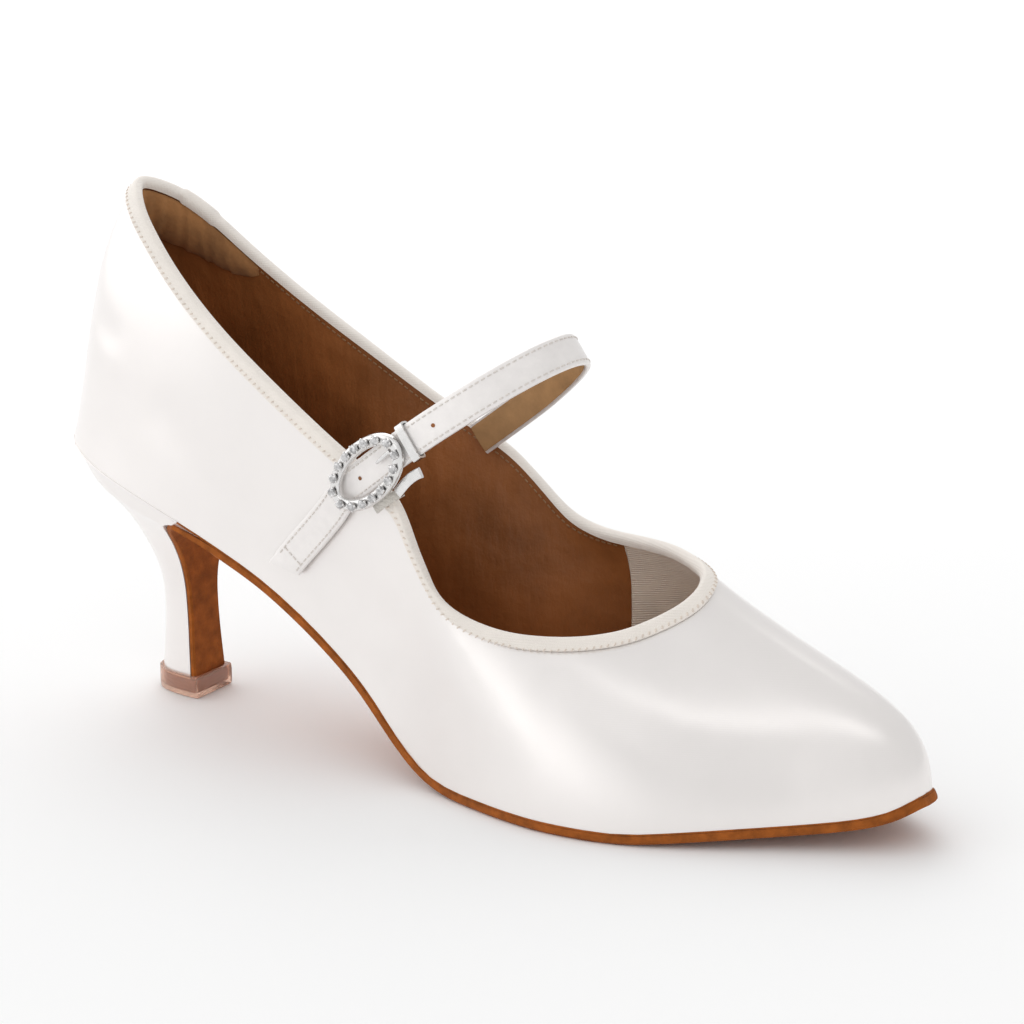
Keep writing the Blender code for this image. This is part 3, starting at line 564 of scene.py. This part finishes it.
def effect(name):
    """The node group of an effect, built the first time that it is asked for."""
    makers = {"Mottle": mottle_group, "Grain": grain_group, "Weave": weave_group}
    return bpy.data.node_groups.get(name) or makers[name]()


LOOK = "shoe "          # keeps these materials apart from the plain ones of the model


class Finish:
    """A material that is being built up on its Principled shader."""

    def __init__(self, name, roughness, metallic=0.0, **sockets):
        self.material = bpy.data.materials.new(LOOK + name)
        self.material.use_nodes = True
        self.nodes = self.material.node_tree.nodes
        self.link = self.material.node_tree.links.new
        self.shader = self.nodes["Principled BSDF"]
        self.shader.inputs["Roughness"].default_value = roughness
        self.shader.inputs["Metallic"].default_value = metallic
        for label, value in sockets.items():
            self.shader.inputs[label.replace("_", " ")].default_value = value
        self.place = self.nodes.new("ShaderNodeTexCoord").outputs["Object"]

    def turned(self, degrees, scale=(1, 1, 1)):
        """Turns and stretches the pattern that follows."""
        mapping = self.nodes.new("ShaderNodeMapping")
        mapping.inputs["Rotation"].default_value = [math.radians(d) for d in degrees]
        mapping.inputs["Scale"].default_value = scale
        self.link(self.place, mapping.inputs["Vector"])
        self.place = mapping.outputs["Vector"]
        return self

    def group(self, name, **values):
        node = self.nodes.new("ShaderNodeGroup")
        node.node_tree = effect(name)
        self.link(self.place, node.inputs["Vector"])
        for label, value in values.items():
            node.inputs[label].default_value = value
        return node

    def mottled(self, colour, shade=0.85, scale=60.0):
        dark = [c * shade for c in colour]
        node = self.group("Mottle", Scale=scale, Light=(*colour, 1), Dark=(*dark, 1))
        self.link(node.outputs["Colour"], self.shader.inputs["Base Color"])
        return self

    def raised(self, name, strength, distance, **values):
        node = self.group(name, **values)
        bump = self.nodes.new("ShaderNodeBump")
        bump.inputs["Strength"].default_value = strength
        bump.inputs["Distance"].default_value = distance
        previous = self.shader.inputs["Normal"].links
        if previous:
            self.link(previous[0].from_socket, bump.inputs["Normal"])
        self.link(node.outputs["Height"], bump.inputs["Height"])
        self.link(bump.outputs["Normal"], self.shader.inputs["Normal"])
        return self

    def on(self, *pieces):
        for piece in pieces:
            piece.data.materials.clear()
            piece.data.materials.append(self.material)
        return self


def finish(name):
    """One of the shoe's finishes, built the first time that it is asked for."""
    c = colours()
    known = bpy.data.materials.get(LOOK + name)
    if known:
        made = Finish.__new__(Finish)
        made.material = known
        return made
    if name == "satin":
        return Finish(name, 0.28, 0.62, Sheen_Weight=0.12, Sheen_Roughness=0.4,
                      Specular_IOR_Level=0.6).mottled(c.satin, 0.975, 45) \
            .raised("Weave", 0.10, 0.00004, Warp=1900.0, Weft=700.0) \
            .raised("Grain", 0.08, 0.0004, Scale=70.0, Nap=1.0)
    if name == "strap satin":
        return Finish(name, 0.36, 0.28, Sheen_Weight=0.12, Specular_IOR_Level=0.5) \
            .mottled(c.satin, 0.93, 260).raised("Grain", 0.55, 0.0002, Scale=380.0, Nap=1.0)
    if name == "ribbon":
        return Finish(name, 0.60, Sheen_Weight=0.3).mottled(c.ribbon, 0.93, 160) \
            .raised("Weave", 0.5, 0.00008, Warp=620.0, Weft=620.0)
    if name == "thread":
        return Finish(name, 0.6, Sheen_Weight=0.3).mottled(c.thread, 0.8, 900)
    if name == "strap thread":
        return Finish(name, 0.6, Sheen_Weight=0.3).mottled(c.strap_thread, 0.8, 900)
    if name == "lining thread":
        return Finish(name, 0.6, Sheen_Weight=0.04).mottled(c.lining_thread, 0.7, 900)
    # This finish also covers the dots for the strap's holes, where its dark brown is painted shade
    # inside each hole.
    if name == "lining leather and hole shade":
        return Finish(name, 0.52, Specular_IOR_Level=0.35).mottled(c.leather, 0.55, 34) \
            .raised("Grain", 0.35, 0.00015, Scale=1500.0, Nap=0.4) \
            .raised("Grain", 0.7, 0.0016, Scale=70.0, Nap=1.0) \
            .turned((0, 35, 0), (1, 1, 0.25)).raised("Grain", 0.8, 0.0008, Scale=260.0, Nap=1.0)
    if name == "twill":
        return Finish(name, 0.85, Sheen_Weight=0.2).mottled(c.twill, 0.85, 80) \
            .turned((0, 8, 0)).raised("Weave", 0.7, 0.00015, Warp=0.0, Weft=520.0)
    if name == "strap leather":
        return Finish(name, 0.62, Specular_IOR_Level=0.35).mottled(c.strap_leather, 0.72, 150) \
            .raised("Grain", 0.4, 0.00015, Scale=1100.0, Nap=0.5)
    if name == "grip suede":
        return Finish(name, 0.92, Sheen_Weight=0.06, Sheen_Roughness=0.6) \
            .mottled(c.grip, 0.62, 150).raised("Grain", 0.6, 0.0003, Scale=900.0, Nap=0.8)
    if name == "sock":
        return Finish(name, 0.85, Sheen_Weight=0.12).turned((0, 0, 8), (0.25, 1, 1)) \
            .mottled(c.sock, 0.42, 130).raised("Grain", 0.5, 0.0002, Scale=1300.0, Nap=0.8)
    if name == "sole suede":
        return Finish(name, 0.95, Sheen_Weight=0.05, Specular_IOR_Level=0.2) \
            .mottled(c.suede, 0.55, 300).raised("Grain", 0.7, 0.0003, Scale=1500.0, Nap=0.85)
    if name == "lift":
        return Finish(name, 0.5).mottled(c.lift, 0.6, 300) \
            .raised("Weave", 0.6, 0.0001, Warp=0.0, Weft=330.0)
    if name == "clear plastic":
        return Finish(name, 0.18, Transmission_Weight=0.8, IOR=1.45) \
            .mottled(c.plastic, 0.9, 120).raised("Grain", 0.15, 0.0002, Scale=260.0, Nap=1.0)
    if name == "silver":
        return Finish(name, 0.24, 1.0).mottled(c.metal, 0.88, 400) \
            .raised("Grain", 0.12, 0.0001, Scale=1500.0, Nap=1.0)
    if name == "stone":
        # The mottle darkens patches to about a fifth of this colour: painted dark reflections in
        # the facets.
        return Finish(name, 0.06, 0.9, Coat_Weight=1.0).mottled(c.stone, 0.22, 900)
    if name == "elastic":
        return Finish(name, 0.7, Sheen_Weight=0.3).mottled(c.elastic, 0.85, 300) \
            .raised("Weave", 0.8, 0.00015, Warp=700.0, Weft=300.0)
    raise ValueError(f"there is no finish named {name}")


def fit(piece, look, slot, *nodes):
    """Gives a piece its finish, lets it ride with the shoe and stand for CAD nodes."""
    finish(look).on(piece)
    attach(piece, BODY)
    if nodes:
        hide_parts(*nodes)
    return piece


# Pieces

INWARD = -0.35          # a lining's faces look inwards at least this much, as a cosine


def inner_wall(source, name, seam, front):
    """The faces of a shell that look inwards, before or behind the seam of the linings."""
    shell = bpy.data.objects.new(name, source.data.copy())
    bpy.context.scene.collection.objects.link(shell)
    pick(shell)
    bpy.ops.object.mode_set(mode="EDIT")
    bpy.ops.mesh.select_all(action="SELECT")
    bpy.ops.mesh.bisect(plane_co=(seam, 0, 0), plane_no=SEAM_FACING)
    bpy.ops.object.mode_set(mode="OBJECT")
    facing = np.array(SEAM_FACING)

    def keep(at):
        return ((at - (seam, 0, 0)) @ facing > 0) == front

    mesh = bmesh.new()
    mesh.from_mesh(shell.data)
    bpy.data.objects.remove(shell, do_unlink=True)
    mesh.faces.ensure_lookup_table()
    middles = np.array([face.calc_center_median()[:] for face in mesh.faces])
    normals = np.array([face.normal[:] for face in mesh.faces])
    inward = np.sum((middles - nearest_on_line(middles, INSIDE)) * unit(normals), axis=1)
    steep = inward / np.linalg.norm(middles - nearest_on_line(middles, INSIDE), axis=1)
    gone = [face for face, at, share in zip(mesh.faces, middles, steep)
            if share > INWARD or not keep(at)]
    bmesh.ops.delete(mesh, geom=gone, context="FACES")
    data = bpy.data.meshes.new(name)
    mesh.to_mesh(data)
    mesh.free()
    piece = bpy.data.objects.new(name, data)
    bpy.context.scene.collection.objects.link(piece)
    points, normals = points_of(piece), normals_of(piece)
    place_points(piece, points + normals * sizes().lining_gap)
    apply_modifier(piece, "SOLIDIFY", thickness=sizes().lining_thick, offset=1.0)
    return piece


class MakeUpper(bpy.types.Operator):
    """Satin quarters and vamp, with soft folds"""
    bl_idname = "shoe.make_upper"
    bl_label = "Upper"

    def execute(self, context):
        piece = refined("upper", "satin_upper")
        press_folds(piece, FOLDS)
        fit(piece, "satin", "satin", "upper")
        return {"FINISHED"}


# Gathers of the grip round an upright line: how many in a turn, their depth and their start
GRIP_MIDDLE = 0.004         # where that line stands along X
GATHERS = ((23, 0.00016, 0.3), (37, 0.00010, 1.9), (53, 0.00006, 0.8))


class MakeLinings(bpy.types.Operator):
    """Leather and twill linings, with the padded heel grip and the sock"""
    bl_idname = "shoe.make_linings"
    bl_label = "Linings"

    def execute(self, context):
        shell = bpy.data.objects["satin_upper"]
        seam = sizes().vamp_seam
        quarters = inner_wall(shell, "quarter_lining", seam, False)
        press_folds(quarters, PUCKERS, outer_only=False)
        fit(quarters, "lining leather and hole shade", "sock_leather")
        vamp = inner_wall(shell, "vamp_lining", seam, True)
        fit(vamp, "twill", "elastic")
        grip = refined("heel_grip", "padded_grip", angle=180)
        self.pucker(grip)
        fit(grip, "grip suede", "grip_suede", "heel_grip")
        sock = refined("insole", "sock", angle=50, levels=1)
        fit(sock, "sock", "sock_leather", "insole")
        return {"FINISHED"}

    @staticmethod
    def pucker(grip):
        """Upright gathers in the suede of the grip, where it turns round the heel."""
        points, normals = points_of(grip), normals_of(grip)
        turn = np.arctan2(points[:, 1], GRIP_MIDDLE - points[:, 0])
        wave = sum(deep * np.sin(turn * often + start) for often, deep, start in GATHERS)
        place_points(grip, points + normals * (wave * ~looks_out(points, normals))[:, None])


RIBBON_CREASE = 82
RIBBON_BEND = 75            # the ribbon's own edges bend by more than this
RIBBON_SLANT = 1.0          # turn of the ribbon's stitches, in radians
LINING_SINK = -1.6          # lifts the lining's stitches off the satin to the lining's face
STITCH_SEARCH = 0.0012      # stitches are looked for from this far off the surface
OVERLAP = (-0.0045, 0.0030)  # the ribbon's doubled stretch on the inner quarter, along X
OVERLAP_STEP = 0.0004       # rise of the doubled ribbon
OVERLAP_EASE = 0.0006       # length over which the step falls


class MakeBinding(bpy.types.Operator):
    """Ribbon folded over the topline, with its stitches"""
    bl_idname = "shoe.make_binding"
    bl_label = "Binding"

    def execute(self, context):
        ribbon = refined("topline_binding", "ribbon_binding", angle=RIBBON_CREASE)
        fit(ribbon, "ribbon", "ribbon", "topline_binding")
        loops = sorted(sharp_loops("topline_binding", RIBBON_BEND), key=height_of)
        margin = sizes().edge_margin
        low = max(loops[:2], key=self.out_of)
        path = self.beside(low, margin, STITCH_SEARCH)
        row = sew("binding_stitches", path, ribbon, closed=True, slant=RIBBON_SLANT,
                  length=sizes().edge_stitch)
        fit(row, "thread", "ribbon")
        turned = min(loops[2:], key=self.out_of)
        path = self.beside(turned, -sizes().lining_margin, -STITCH_SEARCH)
        path = np.roll(path, -int(path[:, 0].argmax()), axis=0)
        shell = bpy.data.objects["satin_upper"]
        leather = (path - (sizes().vamp_seam, 0, 0)) @ np.array(SEAM_FACING) < 0
        row = sew("lining_stitches", path[leather], shell, sink=LINING_SINK)
        fit(row, "lining thread", "sock_leather")
        self.make_overlap(ribbon)
        return {"FINISHED"}

    @classmethod
    def beside(cls, loop, up, out):
        """The loop moved up the wall and away from the inside of the shoe."""
        away = unit(loop - nearest_on_line(loop, INSIDE))
        return loop + unit(cls.upward(loop)) * up + away * out

    @staticmethod
    def make_overlap(ribbon):
        """Step at the inner quarter, where the ribbon's ends overlap."""
        points, normals = points_of(ribbon), normals_of(ribbon)
        start, end = OVERLAP
        inside = (points[:, 1] > 0) & (points[:, 0] > start) & (points[:, 0] < end)
        ease = np.clip((end - points[:, 0]) / OVERLAP_EASE, 0, 1)
        place_points(ribbon, points + normals * (inside * ease * OVERLAP_STEP)[:, None])

    @staticmethod
    def out_of(loop):
        """How far a loop lies from the inside line, on average."""
        return np.linalg.norm(loop - nearest_on_line(loop, INSIDE), axis=1).mean()

    @staticmethod
    def upward(loop):
        """Direction up the wall at each point of a loop round the topline."""
        along = unit(np.roll(loop, -1, axis=0) - np.roll(loop, 1, axis=0))
        away = unit(loop - nearest_on_line(loop, INSIDE))
        up = np.cross(along, away)
        if up[:, 2].mean() < 0:
            up = -up
        return up


SOLE_BEND = 45              # the upper's lower edges bend by more than this
BREAST_MARGIN = 0.003       # the satin fold ends this far behind the front of the heel


class MakeBottom(bpy.types.Operator):
    """Suede outsole, covered heel, lift and clear protector"""
    bl_idname = "shoe.make_bottom"
    bl_label = "Sole and heel"

    def execute(self, context):
        fit(refined("outsole", "suede_outsole", angle=42), "sole suede", "sole_suede", "outsole")
        fit(refined("heel", "covered_heel", angle=48), "satin", "satin", "heel")
        fit(refined("top_piece", "heel_lift", angle=40), "lift", "lift", "top_piece")
        cup = refined("heel_protector", "clear_protector", angle=40, hold=0.85)
        fit(cup, "clear plastic", "clear_plastic", "heel_protector")
        self.make_piping()
        return {"FINISHED"}

    @staticmethod
    def make_piping():
        """Folded satin edge over the heel, and the sole's rolled edge on the rest."""
        edges = sorted(sharp_loops("upper", SOLE_BEND), key=height_of)[:2]
        edge = max(edges, key=MakeBinding.out_of)
        edge = np.roll(edge, -int(edge[:, 0].argmax()), axis=0)
        seat = edge[:, 0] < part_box("heel")[1][0] - BREAST_MARGIN
        fit(tube("seat_piping", edge[seat], sizes().piping / 2), "satin", "satin")
        behind = np.flatnonzero(seat)
        front = np.vstack([edge[behind[-1]:], edge[:behind[0] + 1]])
        front[:, 2] -= sizes().piping / 4
        fit(tube("sole_roll", front, sizes().piping / 2), "sole suede", "sole_suede")


# Distance of each punched hole from the end of the tail
HOLES = [0.0385, 0.0644]
HOLE_CORNERS = 20
HOLE_RIM = 0.12             # rim of a hole as a share of its width
HOLE_SINK = 0.00008         # depth of the hole within its rim
HOLE_LIFT = 0.00004         # the dot's middle lies this far above the strap
# The dot stands for a hole; its dark leather colour is painted shade inside the hole.
HOLE_HEIGHT = 0.0001        # thickness of the dot that stands for a hole
UNDERSIDE_FROM = 15         # ring of the strap from which its underside is free
TAIL_RING = 2               # ring that the tail's cross stitches follow
TAIL_POINTS = 8
UNDERSIDE_INSET = 0.0004    # the leather ends this far inside the strap's edges
UNDERSIDE_BEND = 40


class MakeStrap(bpy.types.Operator):
    """Instep strap with its leather underside, stitches and punched holes, the holes as dots with
    painted shade
    """
    bl_idname = "shoe.make_strap"
    bl_label = "Strap"

    def execute(self, context):
        line = StrapLine()
        strap = refined("instep_strap", "satin_strap", angle=60)
        fit(strap, "strap satin", "satin", "instep_strap")
        self.make_underside(line)
        side = line.half_width - sizes().strap_margin
        for name, way in (("strap_stitches_front", 1), ("strap_stitches_back", -1)):
            path = line.row(way * side, line.half_thick, 1)
            fit(sew(name, path, strap), "strap thread", "satin")
        under = bpy.data.objects["strap_lining"]
        for name, way in (("underside_stitches_front", 1), ("underside_stitches_back", -1)):
            path = line.row(way * side, -line.half_thick, UNDERSIDE_FROM)
            fit(sew(name, path, under), "strap thread", "satin")
        self.make_end_stitches(line, strap)
        self.make_holes(line)
        return {"FINISHED"}

    @staticmethod
    def make_underside(line):
        """Strip of leather under the free part of the strap."""
        first = UNDERSIDE_FROM
        count = len(line.middle) - first
        bpy.ops.object.select_all(action="DESELECT")
        bpy.ops.mesh.primitive_grid_add(x_subdivisions=count - 1, y_subdivisions=1, size=1.0)
        strip = bpy.context.object
        strip.name = strip.data.name = "strap_lining"
        grid = points_of(strip)
        number = np.rint((grid[:, 0] + 0.5) * (count - 1)).astype(int)
        side = np.sign(grid[:, 1]) * (line.half_width - UNDERSIDE_INSET)
        below = line.half_thick + sizes().lining_gap
        rows = number + first
        place_points(strip, line.middle[rows] + line.across[rows] * side[:, None]
                     - line.out[rows] * below)
        apply_modifier(strip, "SOLIDIFY", thickness=sizes().lining_thick,
                       offset=MakeStrap.facing(strip, line, first))
        apply_modifier(strip, "SUBSURF", levels=2, render_levels=2,
                       boundary_smooth="PRESERVE_CORNERS")
        pick(strip)
        bpy.ops.object.mode_set(mode="EDIT")
        bpy.ops.mesh.select_all(action="SELECT")
        bpy.ops.mesh.normals_make_consistent(inside=False)
        bpy.ops.object.mode_set(mode="OBJECT")
        bpy.ops.object.shade_smooth_by_angle(angle=math.radians(UNDERSIDE_BEND))
        fit(strip, "strap leather", "sock_leather")

    @staticmethod
    def facing(strip, line, first):
        """Solidify's offset that thickens the strip away from the strap."""
        strip.data.update()
        face = strip.data.polygons[0]
        return -1.0 if np.array(face.normal) @ line.out[first] > 0 else 1.0

    @staticmethod
    def make_end_stitches(line, strap):
        """Row across the tail, which holds it to the quarter."""
        at = TAIL_RING
        reach = line.half_width - sizes().strap_margin
        ends = [line.middle[at] + line.across[at] * way * reach
                + line.out[at] * line.half_thick for way in (-1, 1)]
        path = np.linspace(ends[0], ends[1], TAIL_POINTS)
        fit(sew("tail_stitches", path, strap), "strap thread", "satin")

    @staticmethod
    def make_holes(line):
        """Punched holes along the middle of the strap, each drawn as a dished dot of the dark
        lining leather whose dark brown is painted shade inside the hole.
        """
        bpy.ops.object.select_all(action="DESELECT")
        bpy.ops.mesh.primitive_cylinder_add(vertices=HOLE_CORNERS, depth=HOLE_HEIGHT,
                                            radius=sizes().hole_width / 2)
        dot = bpy.context.object
        bpy.ops.object.mode_set(mode="EDIT")
        select_top(dot)
        bpy.ops.mesh.inset(thickness=sizes().hole_width * HOLE_RIM)
        bpy.ops.transform.translate(value=(0, 0, -HOLE_SINK))
        bpy.ops.object.mode_set(mode="OBJECT")
        form = taken(dot)
        run = np.concatenate([[0], np.cumsum(np.linalg.norm(np.diff(line.middle, axis=0),
                                                            axis=1))])
        places = []
        for distance in HOLES:
            at, along, out = (np.array([np.interp(distance, run, way[:, k]) for k in range(3)])
                              for way in (line.middle, line.along, line.out))
            places.append((at + out * (line.half_thick + HOLE_LIFT), along,
                           np.cross(out, along), out))
        # Dark lining leather on the dots: painted shade inside each punched hole.
        fit(repeated("strap_hole_shade_dots", form, places), "lining leather and hole shade", "satin")


CLAW_TURNS = (45, 135, 225, 315)
CLAW_REACH = 0.50           # from a stone's middle to its claws, as a share of its width
CLAW_LIFT = 0.0003          # height of a claw's middle above the stone's seat
CLAW_SEGMENTS, CLAW_RINGS = 10, 6
GEM_CORNERS = 12
GEM_GIRDLE = 0.16           # height of the girdle as a share of the width
GEM_CROWN = ((0.80, 0.13), (0.68, 0.06))    # each step's shrink, and rise as that share
GEM_TWIST = 15


class MakeBuckle(bpy.types.Operator):
    """Oval frame with claws and cut stones, its pin, keeper, hook and elastic"""
    bl_idname = "shoe.make_buckle"
    bl_label = "Buckle"

    def execute(self, context):
        fit(refined("buckle_frame", "oval_frame", angle=70), "silver", "metal", "buckle_frame")
        for node, name in (("buckle_prong", "pin"), ("buckle_keeper", "keeper"),
                           ("buckle_hook", "hook")):
            fit(refined(node, name, angle=60), "silver", "metal", node)
        fit(refined("elastic_tab", "elastic", angle=60), "elastic", "elastic", "elastic_tab")
        frame_points = points_of(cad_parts["buckle_frame"])
        middle = frame_points.mean(0)
        ways = np.linalg.svd(frame_points - middle, full_matrices=False)[2]
        out = ways[2] if ways[2][1] < 0 else -ways[2]
        gem = self.gem_form()
        claw = self.claw_form()
        claws = []
        names = sorted(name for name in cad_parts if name.startswith("stone_"))
        for name in names:
            low = points_of(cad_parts[name])
            seat = low.mean(0)
            seat = seat + out * (((low - seat) @ out).min())
            x = unit(np.cross(out, seat - middle))
            y = np.cross(out, x)
            stone = repeated(name.replace("stone", "gem"), gem, [(seat, x, y, out)])
            pick(stone)
            bpy.ops.object.shade_flat()
            fit(stone, "stone", "stone", name)
            for turn in CLAW_TURNS:
                angle = math.radians(turn)
                way = x * math.cos(angle) + y * math.sin(angle)
                at = seat + way * sizes().stone_width * CLAW_REACH + out * CLAW_LIFT
                claws.append((at, x, y, out))
        fit(repeated("stone_claws", claw, claws), "silver", "metal")
        return {"FINISHED"}

    @staticmethod
    def gem_form():
        """A cut stone along Z: girdle, crown and table."""
        bpy.ops.object.select_all(action="DESELECT")
        width = sizes().stone_width
        bpy.ops.mesh.primitive_cylinder_add(vertices=GEM_CORNERS, radius=width / 2,
                                            depth=width * GEM_GIRDLE,
                                            location=(0, 0, width * GEM_GIRDLE / 2))
        gem = bpy.context.object
        bpy.ops.object.transform_apply(location=True, rotation=True, scale=True)
        bpy.ops.object.mode_set(mode="EDIT")
        select_top(gem)
        for shrink, rise in GEM_CROWN:
            bpy.ops.mesh.extrude_region_move(
                TRANSFORM_OT_translate={"value": (0, 0, width * rise)})
            bpy.ops.transform.resize(value=(shrink, shrink, 1))
            bpy.ops.transform.rotate(value=math.radians(GEM_TWIST), orient_axis="Z",
                                     center_override=(0, 0, 0))
        bpy.ops.object.mode_set(mode="OBJECT")
        return taken(gem)

    @staticmethod
    def claw_form():
        """A bead of metal."""
        bpy.ops.object.select_all(action="DESELECT")
        bpy.ops.mesh.primitive_uv_sphere_add(segments=CLAW_SEGMENTS, ring_count=CLAW_RINGS,
                                             radius=sizes().claw_width / 2)
        return taken(bpy.context.object)


FLOOR_SIZE = 8.0
FLOOR_AT = (0.1, 0, -0.0001)
FLOOR_COLOUR = (0.97, 0.97, 0.97)

# Camera: the photograph's viewpoint, aimed at the one shoe
CAMERA_AT = (0.6009, -0.7436, 0.3512)
CAMERA_TURN = (72.28, 0.0, 33.95)
CAMERA_LENS = 138.0
AIM = (0.09, 0.0, 0.05)     # point that the lights face
# Where the dome is brightest. The light grows between two cosines of the angle to that side,
# which come first, from one strength to another.
DOME_SIDE = (-0.85, -0.33, -0.42)
DOME = (-0.3, 0.9, 0.75, 1.50)
# Name, place, size in metres and power in watts
LIGHTS = [
    ("front softbox", (0.47, -0.62, 0.95), (0.50, 0.22), 0.27),
    ("back softbox", (-0.45, 0.65, 0.85), (0.9, 0.9), 3.2),
]


class MakeStage(bpy.types.Operator):
    """Pale floor, soft lights and the camera of the photograph"""
    bl_idname = "shoe.make_stage"
    bl_label = "Stage"

    def execute(self, context):
        bpy.ops.object.select_all(action="DESELECT")
        bpy.ops.mesh.primitive_plane_add(size=FLOOR_SIZE, location=FLOOR_AT)
        floor = bpy.context.object
        floor.name = "floor"
        Finish("pale floor", 0.8, Specular_IOR_Level=0.2) \
            .mottled(FLOOR_COLOUR, 0.995, 3.0).on(floor)
        context.scene.world = self.make_dome()
        context.scene.view_settings.view_transform = "Standard"
        for name, at, size, power in LIGHTS:
            lamp = bpy.data.lights.new(name, "AREA")
            lamp.energy = power
            lamp.shape = "RECTANGLE"
            lamp.size, lamp.size_y = size
            item = bpy.data.objects.new(name, lamp)
            item.location = at
            aim = Vector(AIM) - Vector(at)
            item.rotation_euler = aim.to_track_quat("-Z", "Y").to_euler()
            context.scene.collection.objects.link(item)
        camera = bpy.data.objects.new("camera", bpy.data.cameras.new("camera"))
        camera.location = CAMERA_AT
        camera.rotation_euler = [math.radians(turn) for turn in CAMERA_TURN]
        camera.data.sensor_width = 36.0
        camera.data.lens = CAMERA_LENS
        camera.data.clip_start = 0.01
        context.scene.collection.objects.link(camera)
        context.scene.camera = camera
        return {"FINISHED"}

    @staticmethod
    def make_dome():
        """World lit like a studio: brightest towards one side, dim on the other."""
        world = bpy.data.worlds.new("studio")
        world.use_nodes = True
        nodes, link = world.node_tree.nodes, world.node_tree.links.new
        direction = nodes.new("ShaderNodeTexCoord")
        towards = nodes.new("ShaderNodeVectorMath")
        towards.operation = "DOT_PRODUCT"
        towards.inputs[1].default_value = Vector(DOME_SIDE).normalized()
        light = nodes.new("ShaderNodeMapRange")
        light.interpolation_type = "SMOOTHSTEP"
        for label, value in zip(("From Min", "From Max", "To Min", "To Max"), DOME):
            light.inputs[label].default_value = value
        link(direction.outputs["Generated"], towards.inputs[0])
        link(towards.outputs["Value"], light.inputs["Value"])
        link(light.outputs["Result"], nodes["Background"].inputs["Strength"])
        nodes["Background"].inputs["Color"].default_value = (1.0, 1.0, 1.0, 1)
        return world


class ShoePanel(bpy.types.Panel):
    bl_idname = "VIEW3D_PT_shoe"
    bl_label = "Court shoe"
    bl_space_type = "VIEW_3D"
    bl_region_type = "UI"
    bl_category = "Shoe"

    def draw(self, context):
        for maker in MAKERS:
            self.layout.operator(maker.bl_idname)
        for group in (context.scene.shoe_sizes, context.scene.shoe_colours):
            for label in group.__annotations__:
                self.layout.prop(group, label)


MAKERS = (MakeUpper, MakeLinings, MakeBinding, MakeBottom, MakeStrap, MakeBuckle, MakeStage)
CLASSES = (ShoeSizes, ShoeColours, *MAKERS, ShoePanel)


def register():
    for item in CLASSES:
        bpy.utils.register_class(item)
    bpy.types.Scene.shoe_sizes = bpy.props.PointerProperty(type=ShoeSizes)
    bpy.types.Scene.shoe_colours = bpy.props.PointerProperty(type=ShoeColours)


def unregister():
    del bpy.types.Scene.shoe_sizes
    del bpy.types.Scene.shoe_colours
    for item in reversed(CLASSES):
        bpy.utils.unregister_class(item)


def main():
    register()
    for maker in MAKERS:
        group, name = maker.bl_idname.split(".")
        getattr(getattr(bpy.ops, group), name)()


if __name__ == "__main__":
    main()
